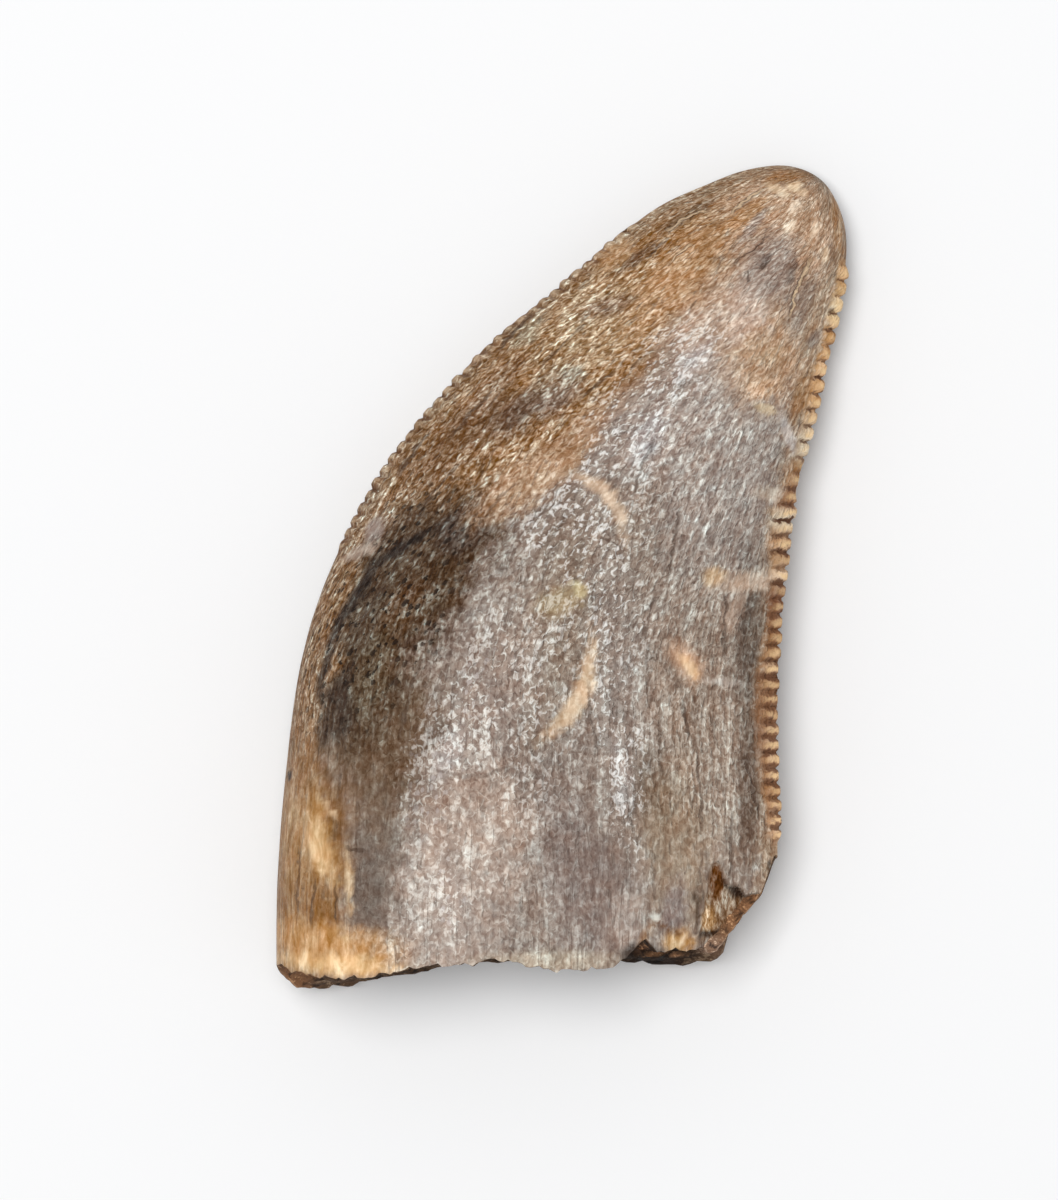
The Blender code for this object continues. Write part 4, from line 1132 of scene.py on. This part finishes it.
def growth_grain_group():
    """Noise stretched along the crown's growth, from 0 in its hollows to 1 on its ridges."""
    nodes, given, end = new_tree("growth grain", "ShaderNodeTree", {
        "Grain": "Vector", "Across": 5.0, "Along": 1.0, "Detail": 2.0, "Distortion": 0.0, "Shift": 0.0,
        "Crispness": 0.2,
    }, {"Value": "Float"})
    stretch = nodes.vector(given["Across"], given["Along"], given["Across"])
    stretched = given["Grain"] * stretch + given["Shift"]
    value = nodes.noise(stretched, 1.0, given["Detail"], 0.55, given["Distortion"])
    spread = {0: value, 1: 0.5 - given["Crispness"], 2: given["Crispness"] + 0.5}
    nodes.feed(end["Value"], nodes.value("ShaderNodeMapRange", spread))
    return nodes.tree


def denticle_shade_group():
    """Where one row's denticles are, the painted shade between them, their outer ends (a painted highlight on
    the distal row), and a chance for each.
    """
    nodes, given, end = new_tree("denticle shade", "ShaderNodeTree", {
        "Place": 0.0, "Gap": 9.0, "Unevenness": 0.0, "Count": 30.0, "Reach": 0.4,
        "Slant at the top": 0.0, "Slant at the foot": 0.0,
    }, {"Knob": "Float", "Slot": "Float", "End": "Float", "Chance": "Float"})

    def chance(number):
        return nodes.value("ShaderNodeTexWhiteNoise", {"W": number}, "Value", noise_dimensions="1D")

    share = given["Place"] / given["Count"]
    slant = nodes.mix(share, given["Slant at the top"], given["Slant at the foot"], "FLOAT")
    place = given["Unevenness"] * 0.8 + (slant * given["Gap"] + given["Place"])
    gap = given["Unevenness"] * 0.45 + given["Gap"]
    reach = given["Unevenness"] * 0.3 + given["Reach"]
    number = round(place)
    aside = abs(place - number)
    in_row = nodes.step(place, -0.9, -0.3) * nodes.step(given["Count"] - place, 0.0, 1.0)
    knob = nodes.step(gap, reach * 0.45, reach * 1.1, 1.0, 0.0)
    slot_chance = chance(nodes.maths("FLOOR", place))
    slot_end = reach * (slot_chance * 0.5 + 0.7)
    slot_from = nodes.mix(share, 0.33, 0.12, "FLOAT")
    between = nodes.step(aside, slot_from, slot_from + 0.17)
    slot = between * nodes.step(gap, slot_end * 0.4, slot_end, 1.0, 0.0) * (slot_chance * 0.5 + 0.55)
    outer_end = nodes.step(gap, reach * 0.15, reach * 0.6, 1.0, 0.0)
    middle = nodes.step(aside, 0.05, 0.3, 1.0, 0.0)
    nodes.feed(end["Knob"], knob * in_row)
    nodes.feed(end["Slot"], slot * in_row)
    nodes.feed(end["End"], outer_end * middle * in_row)
    nodes.feed(end["Chance"], chance(number))
    return nodes.tree


def broken_dentine_group():
    """Reddish brown dentine with paler fibres and dark hollows."""
    nodes, given, end = new_tree("broken dentine", "ShaderNodeTree", {
        "Position": "Vector", "Stretch": (3.4, 1.5, 3.4), "Dentine": (0.26, 0.14, 0.075, 1),
        "Pale": (0.5, 0.36, 0.24, 1), "Dark": (0.09, 0.045, 0.025, 1),
    }, {"Color": "Color", "Height": "Float"})
    stretched = given["Position"] * given["Stretch"]
    broad = nodes.noise(stretched, 1.0, 4.0, 0.6, 1.0)
    fine = nodes.noise(stretched, 3.7, 3.0, 0.6, 0.5)
    shaded = nodes.mix(nodes.step(broad, 0.34, 0.5, 1.0, 0.0), given["Dentine"], given["Dark"])
    pale = nodes.step(broad + (fine - 0.5) * 0.6, 0.56, 0.68)
    nodes.feed(end["Color"], nodes.mix(pale, shaded, given["Pale"]))
    nodes.feed(end["Height"], (fine + broad) * 0.5)
    return nodes.tree


def row_colour(nodes, place):
    """The distal denticles' colour, which changes down the row."""
    last = DISTAL.count - 1
    ramp = nodes.add("ShaderNodeValToRGB", {0: place / last})
    stops = ramp.color_ramp.elements
    for number, (first, colour) in enumerate(DENTICLE_COLOURS):
        stop = stops[number] if number < 2 else stops.new(first / last)
        stop.position = first / last
        stop.color = (*colour, 1)
    return Value(nodes, ramp.outputs["Color"])


def brightened(nodes, colour, gain):
    """A colour doubled that many times: greyer as it gets lighter, and redder as it gets darker."""
    scaled = nodes.vectors("SCALE", colour, scale=2.0 ** gain)
    saturation = gain * SATURATION_TILT + 1.0
    greyed = nodes.value("ShaderNodeHueSaturation", {"Saturation": saturation, "Color": scaled})
    return greyed * (nodes.vector(gain, gain, gain) * COLOUR_TILT + (1.0, 1.0, 1.0))


def denticle_colours(nodes, groups, finish, ragged, detail, colour):
    """Both rows of denticles laid over the crown's colour, and the slots between the distal ones."""
    def row(edge, name, more):
        found = nodes.group(groups["denticle shade"], {
            "Place": kept(nodes, name + "_place"), "Gap": kept(nodes, name + "_gap"),
            "Count": float(edge.count), "Unevenness": ragged, **more,
        })
        return found, found["End"] * (found["Chance"] * 0.6 + 0.3)

    distal, distal_end = row(DISTAL, "distal", {
        "Reach": kept(nodes, "distal_reach"), **DISTAL_SLANTS,
    })
    mesial, mesial_end = row(MESIAL, "mesial", {"Reach": 0.25})
    knob_gain = distal["Chance"] * KNOB_CHANCE_GAIN + detail * KNOB_DETAIL_GAIN + KNOB_GAIN
    knob = brightened(nodes, row_colour(nodes, kept(nodes, "distal_place")), knob_gain)
    # The distal ends take a painted highlight and the slots a painted shade.
    for share, over in (
        (distal["Knob"] * KNOB_COVER, knob),
        (distal_end, finish.denticle_end),
        (distal["Slot"] * DISTAL_SLOT_COVER, finish.denticle_slot),
        (mesial_end, finish.mesial_denticle),
        (mesial["Slot"] * MESIAL_SLOT_COVER, finish.denticle_slot),
    ):
        colour = nodes.mix(share, colour, over)
    return colour, distal["Slot"]


def new_material(name):
    """An empty material, its nodes and its surface."""
    material = bpy.data.materials.new(name)
    material.use_nodes = True
    return material, Nodes(material.node_tree), material.node_tree.nodes["Principled BSDF"].inputs


def enamel_material(finish, groups):
    """The enamel of the crown, with the outer face's patches, both rows of denticles and the lost flake."""
    material, nodes, surface = new_material("fossil_enamel")
    position = object_place(nodes)
    grain = kept(nodes, "grain", "Vector")
    flake = kept(nodes, "lost_flake")
    shine = kept(nodes, "shine")
    mark_colour = kept(nodes, "mark_colour", "Vector")
    contrast, beaded, spotted = nodes.parts(kept(nodes, "grain_kind", "Vector"))
    line, line_dark, line_pale = nodes.parts(kept(nodes, "line", "Vector"))

    def growth(values):
        inputs = {"Grain": grain, **dict(zip(GRAIN_INPUTS, values))}
        return nodes.group(groups["growth grain"], inputs)["Value"] - 0.5

    beads, flecks, fibres, soft, patches = map(growth, GRAINS)
    detail = nodes.mix(beaded, flecks, beads, "FLOAT")
    frayed_grain = grain * (1.0, 0.8, 1.0) + (beads + 0.5) * 0.06
    cells = nodes.named("ShaderNodeTexVoronoi", {"Vector": frayed_grain, "Scale": 5.2})
    cell_chance = nodes.value("ShaderNodeSeparateColor", {0: cells["Color"]})
    spot_size = cell_chance * 0.45 + 0.06
    spots = nodes.step(cells["Distance"], spot_size * 0.6, spot_size, 1.0, 0.0) * spotted
    pits = spots * nodes.step(shine, 0.0, 0.3, 1.0, 0.0)
    line_aside = abs(beads * 0.6 + line)
    cracks = nodes.step(line_aside, 0.6, 2.0, 1.0, 0.0) * line_dark
    crests = nodes.step(line_aside, 0.3, 1.1, 1.0, 0.0) * line_pale
    hairs = nodes.step(abs(fibres), 0.0, 0.13, 1.0, 0.0) * nodes.step(patches, -0.15, 0.25)
    hairs *= nodes.step(contrast, 0.2, 0.8)

    # Painted glints: pale beads where the crest would shine, with dark rings round them, and a little painted
    # lightening by the shine.
    clustered = (patches + soft) * 0.5 + beads
    moats = nodes.step(clustered, -0.2, -0.05) * nodes.step(clustered, 0.0, 0.12, 1.0, 0.0) * shine
    bright_beads = nodes.step(clustered, 0.16, 0.38) * (1.0 - spotted)
    glints = nodes.maths("MAXIMUM", bright_beads, spots) * shine

    gain = (detail * DETAIL_GAIN + fibres * FIBRE_GAIN) * contrast + soft * SOFT_GAIN
    gain += patches * (PATCH_GAIN - contrast * PATCH_LOSS) + shine * SHINE_GAIN + moats * MOAT_GAIN
    warmth = nodes.noise(grain, 2.2, 3.0, 0.6) - 0.5
    tint = nodes.vector(warmth, warmth, warmth) * WARMTH + (1.0, 1.0, 1.0)
    colour = brightened(nodes, mark_colour * tint, gain)
    for share, over in (
        (glints * GLINT_COVER, finish.glint),
        (pits * PIT_COVER, finish.pit),
        (hairs * HAIR_COVER, finish.crack),
        (cracks * CRACK_COVER, finish.crack),
        (crests * CREST_COVER, finish.line_crest),
    ):
        colour = nodes.mix(share, colour, over)
    frayed = beads * 0.2 + nodes.noise(position, 3.3, 3.0, 0.65) - 0.5
    colour, slots = denticle_colours(nodes, groups, finish, frayed, detail, colour)
    dentine_height = nodes.group(groups["broken dentine"], {"Position": position})["Height"]
    fibrous = brightened(nodes, mark_colour, dentine_height * 11.0 - 5.5)
    nodes.feed(surface["Base Color"], nodes.mix(flake, colour, fibrous))

    roughness = nodes.mix(glints, detail * DETAIL_ROUGHNESS + ENAMEL_ROUGHNESS, GLINT_ROUGHNESS, "FLOAT")
    roughness = nodes.mix(nodes.maths("MAXIMUM", pits, slots), roughness, PIT_ROUGHNESS, "FLOAT")
    nodes.feed(surface["Roughness"], nodes.mix(flake, roughness, FLAKE_ROUGHNESS, "FLOAT"))
    surface["Specular IOR Level"].default_value = ENAMEL_SPECULAR

    crown_height = detail * contrast + soft * 0.5 + 0.25 - pits * 1.4 - cracks * 0.6
    height = nodes.mix(flake, crown_height, dentine_height * 3.0, "FLOAT")
    nodes.feed(surface["Normal"], nodes.value("ShaderNodeBump", {
        "Height": height, "Distance": finish.wrinkle_height, "Strength": 1.0,
    }))
    return material


def dentine_material(finish, groups):
    """The broken base: a pale rim of enamel, brown dentine and the dark grains in the pulp hollow."""
    material, nodes, surface = new_material("broken_dentine")
    position = object_place(nodes)
    dentine = nodes.group(groups["broken dentine"], {
        "Position": position, "Stretch": (2.8, 2.8, 2.8),
        "Dentine": finish.dentine, "Pale": finish.dentine_pale, "Dark": finish.dentine_dark,
    })
    grains = nodes.named("ShaderNodeTexVoronoi", {"Vector": position, "Scale": 2.6})
    chance = nodes.value("ShaderNodeSeparateColor", {0: grains["Color"]})
    filling = nodes.mix(chance, finish.pulp_dark, finish.pulp_grey)
    filling = brightened(nodes, filling, grains["Distance"] * -1.6 + 0.5)
    colour = nodes.mix(kept(nodes, "pulp"), dentine["Color"], filling)
    edge = kept(nodes, "inside_rim") + nodes.noise(position, 4.0) * 0.12
    colour = nodes.mix(nodes.step(edge, 0.06, 0.13, 1.0, 0.0), colour, finish.enamel_rim)
    nodes.feed(surface["Base Color"], colour * kept(nodes, "mark_colour", "Vector"))
    nodes.feed(surface["Roughness"], dentine["Height"] * 0.3 + 0.65)
    surface["Specular IOR Level"].default_value = DENTINE_SPECULAR
    nodes.feed(surface["Normal"], nodes.value("ShaderNodeBump", {
        "Height": dentine["Height"], "Distance": finish.wrinkle_height * 6,
    }))
    return material


def pale_material(name, colour):
    """A plain matt studio surface."""
    material, _, surface = new_material(name)
    surface["Base Color"].default_value = (*colour, 1)
    surface["Roughness"].default_value = 0.9
    return material


def length_property(name, description, default):
    return bpy.props.FloatProperty(
        name=name, description=description, default=default, min=0, precision=5,
        unit="LENGTH", subtype="DISTANCE")


def colour_property(name, description, default):
    return bpy.props.FloatVectorProperty(
        name=name, description=description, default=default, min=0, max=1, size=3, subtype="COLOR")


class ToothRelief(bpy.types.PropertyGroup):
    """Sizes of the tooth's fine relief."""

    distal_stand_out: length_property("Distal Stand Out", "How far the distal denticles stand out", 0.00009)
    distal_slot: length_property("Distal Slot", "Depth of the slots between the distal denticles", 0.00006)
    mesial_stand_out: length_property("Mesial Stand Out", "How far the mesial denticles stand out", 0.00007)
    mesial_slot: length_property("Mesial Slot", "Depth of the slots between the mesial denticles", 0.00004)
    ridge_height: length_property("Ridge Height", "Height of the long growth ridges", 0.00003)
    lump_height: length_property("Lump Height", "Height of the broad lumps", 0.00005)
    flake_roughness: length_property("Flake Roughness", "Roughness of the floor of the lost flake", 0.00012)
    rim_width: length_property("Rim Width", "Thickness of the enamel at the break", 0.00018)
    dentine_sink: length_property("Dentine Sink", "How far the dentine lies behind the enamel's rim", 0.00006)
    break_height: length_property("Break Height", "Height of the break's coarse relief", 0.0003)
    break_grain: length_property("Break Grain", "Height of the break's fine grain", 0.00012)


class ToothFinish(bpy.types.PropertyGroup):
    """Colours of the tooth, and the depth of its finest wrinkles."""

    ground: colour_property("Ground", "Colour of the outer face between its marks", (0.34, 0.275, 0.23))
    mesial_band: colour_property("Mesial Band", "Band along the mesial edge", (0.36, 0.235, 0.14))
    distal_band: colour_property("Distal Band", "Band along the distal edge", (0.42, 0.29, 0.19))
    pit: colour_property("Pit", "Pits of the dark shoulder", (0.015, 0.008, 0.005))
    crack: colour_property("Crack", "Hairline cracks", (0.06, 0.03, 0.017))
    line_crest: colour_property("Line Crest", "Pale crests of the fine ridges", (0.8, 0.58, 0.37))
    # Painted highlight: the colour of the glints on the crest's beads.
    glint: colour_property("Glint", "Painted highlight on the shiniest beads of the crest", (0.84, 0.79, 0.77))
    inner_tan: colour_property("Inner Tan", "Light stripes of the inner face", (0.36, 0.25, 0.16))
    inner_brown: colour_property("Inner Brown", "Dark stripes of the inner face", (0.17, 0.12, 0.085))
    inner_grey: colour_property("Inner Grey", "Grey patches of the inner face", (0.4, 0.35, 0.3))
    # Painted highlight on the outer ends of the distal denticles.
    denticle_end: colour_property("Denticle End Highlight", "Painted highlight on the outer ends of the denticles", (0.9, 0.63, 0.34))
    # Painted shade in the slots between the denticles.
    denticle_slot: colour_property("Denticle Slot Shade", "Painted shade in the slots between the denticles", (0.13, 0.055, 0.028))
    mesial_denticle: colour_property("Mesial Denticle", "Denticles of the mesial edge", (0.55, 0.4, 0.27))
    dentine: colour_property("Dentine", "Broken dentine", (0.15, 0.085, 0.048))
    dentine_pale: colour_property("Pale Dentine", "Pale fibres of the broken dentine", (0.4, 0.27, 0.17))
    dentine_dark: colour_property("Dark Dentine", "Hollows of the broken dentine", (0.04, 0.024, 0.016))
    enamel_rim: colour_property("Enamel Rim", "Broken edge of the enamel", (0.3, 0.2, 0.13))
    pulp_dark: colour_property("Pulp Dark", "Dark grains in the pulp hollow", (0.04, 0.03, 0.025))
    pulp_grey: colour_property("Pulp Grey", "Grey grains in the pulp hollow", (0.2, 0.16, 0.13))
    wrinkle_height: length_property("Wrinkle Height", "Height of the finest wrinkles", 0.00004)


class StudioSettings(bpy.types.PropertyGroup):
    """The floor, the light and the camera."""

    floor_colour: colour_property("Floor", "Colour of the floor", (0.9, 0.9, 0.9))
    floor_size: length_property("Floor Size", "Side of the square floor", 1.2)
    sky_colour: colour_property("Sky", "Colour of the light from all sides", (0.97, 0.98, 1.0))
    sky_strength: bpy.props.FloatProperty(
        name="Sky Strength", description="Strength of the light from all sides", default=0.4, min=0)
    lamp_power: bpy.props.FloatProperty(
        name="Lamp Power", description="Power of the soft lamp overhead", default=1.3, min=0, unit="POWER")
    lamp_size: length_property("Lamp Size", "Side of the soft lamp", 0.16)
    lamp_place: bpy.props.FloatVectorProperty(
        name="Lamp Place", description="Where the soft lamp hangs", default=(-0.05, 0.04, 0.42), size=3,
        unit="LENGTH", subtype="TRANSLATION")
    view_centre: bpy.props.FloatVectorProperty(
        name="View Centre", description="What the camera looks at", default=(-0.00088, -0.000605, 0.0035),
        size=3, precision=5, unit="LENGTH", subtype="TRANSLATION")
    view_height: length_property("View Height", "How far the camera is above that", 0.2)
    view_reach: length_property("View Reach", "Length of the long side of the view", 0.03147)


class FOSSIL_OT_tooth(bpy.types.Operator):
    """Make the fossil tooth in the place of its solid"""

    bl_idname = "fossil.tooth"
    bl_label = "Fossil Tooth"

    def execute(self, context):
        relief, finish = context.scene.tooth_relief, context.scene.tooth_finish
        groups = {
            tree.name: tree
            for tree in (growth_grain_group(), denticle_shade_group(), broken_dentine_group())
        }
        enamel = enamel_material(finish, groups)
        tooth = new_piece("fossil_tooth", tooth_mesh())
        colours = ("ground", "mesial_band", "distal_band", "inner_tan", "inner_brown", "inner_grey")
        add_relief(tooth, crown_colours_tree(), {
            **{name.capitalize().replace("_", " "): (*getattr(finish, name), 1) for name in colours},
            "Material": enamel,
        })
        add_relief(tooth, growth_relief_tree(), {
            "Ridge height": relief.ridge_height,
            "Lump height": relief.lump_height,
            "Flake roughness": relief.flake_roughness,
            "Material": enamel,
        })
        row = denticle_row_tree()
        for edge, name in ((DISTAL, "distal"), (MESIAL, "mesial")):
            add_relief(tooth, row, {
                "Place in row": name + "_place", "Gap to edge": name + "_gap", "Outward": name + "_outward",
                "Reach": name + "_reach", "Count": edge.count, "Slot share": SLOT_SHARE,
                "Stand out": getattr(relief, name + "_stand_out"),
                "Slot depth": getattr(relief, name + "_slot"), "Material": enamel, **ROWS[name],
            })
        add_relief(tooth, break_relief_tree(), {
            "Rim width": relief.rim_width,
            "Sink": relief.dentine_sink,
            "Coarse height": relief.break_height,
            "Grain height": relief.break_grain,
            "Material": dentine_material(finish, groups),
        })
        settle(tooth)
        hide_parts("tooth")
        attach(tooth, "root")
        return {"FINISHED"}


class FOSSIL_OT_studio(bpy.types.Operator):
    """Make the pale floor, the soft light and the camera"""

    bl_idname = "fossil.studio"
    bl_label = "Studio"

    def execute(self, context):
        scene, studio = context.scene, context.scene.studio_settings
        half = studio.floor_size / 2
        mesh = bpy.data.meshes.new("studio_floor")
        corners = [(x * half, y * half, FLOOR_LEVEL) for x, y in ((-1, -1), (1, -1), (1, 1), (-1, 1))]
        mesh.from_pydata(corners, [], [(0, 1, 2, 3)])
        mesh.materials.append(pale_material("studio_floor", studio.floor_colour))
        floor = new_piece("studio_floor", mesh)

        lamp_data = bpy.data.lights.new("studio_lamp", "AREA")
        lamp_data.size = studio.lamp_size
        lamp_data.energy = studio.lamp_power
        lamp = new_piece("studio_lamp", lamp_data)
        lamp.location = studio.lamp_place
        lamp.rotation_euler = (-lamp.location).to_track_quat("-Z", "Y").to_euler()
        lamp.visible_camera = False

        camera_data = bpy.data.cameras.new("studio_camera")
        camera_data.lens = camera_data.sensor_width * studio.view_height / studio.view_reach
        camera_data.clip_start = 0.01
        camera = new_piece("studio_camera", camera_data)
        camera.location = studio.view_centre
        camera.location.z += studio.view_height
        scene.camera = camera

        world = bpy.data.worlds.new("studio_sky")
        world.use_nodes = True
        sky = world.node_tree.nodes["Background"]
        sky.inputs["Color"].default_value = (*studio.sky_colour, 1)
        sky.inputs["Strength"].default_value = studio.sky_strength
        scene.world = world
        scene.view_settings.view_transform = "Standard"
        floor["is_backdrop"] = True
        return {"FINISHED"}


class FOSSIL_PT_sidebar(bpy.types.Panel):
    """Lists what the add-on makes"""

    bl_idname = "FOSSIL_PT_sidebar"
    bl_label = "Fossil Tooth"
    bl_space_type = "VIEW_3D"
    bl_region_type = "UI"
    bl_category = "Fossil"

    def draw(self, context):
        scene = context.scene
        for settings in (scene.tooth_relief, scene.tooth_finish, scene.studio_settings):
            box = self.layout.box()
            for name in settings.__annotations__:
                box.prop(settings, name)
        self.layout.operator(FOSSIL_OT_tooth.bl_idname)
        self.layout.operator(FOSSIL_OT_studio.bl_idname)


CLASSES = (ToothRelief, ToothFinish, StudioSettings, FOSSIL_OT_tooth, FOSSIL_OT_studio, FOSSIL_PT_sidebar)


def register():
    for each in CLASSES:
        bpy.utils.register_class(each)
    bpy.types.Scene.tooth_relief = bpy.props.PointerProperty(type=ToothRelief)
    bpy.types.Scene.tooth_finish = bpy.props.PointerProperty(type=ToothFinish)
    bpy.types.Scene.studio_settings = bpy.props.PointerProperty(type=StudioSettings)


def unregister():
    for name in ("tooth_relief", "tooth_finish", "studio_settings"):
        delattr(bpy.types.Scene, name)
    for each in reversed(CLASSES):
        bpy.utils.unregister_class(each)


def main():
    register()
    bpy.ops.fossil.tooth()
    bpy.ops.fossil.studio()
    sizes = {"solid": SOLID_BOUNDS, "finished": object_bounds()}
    {name: [list(corner) for corner in box] for name, box in sizes.items()}


if __name__ == "__main__":
    main()
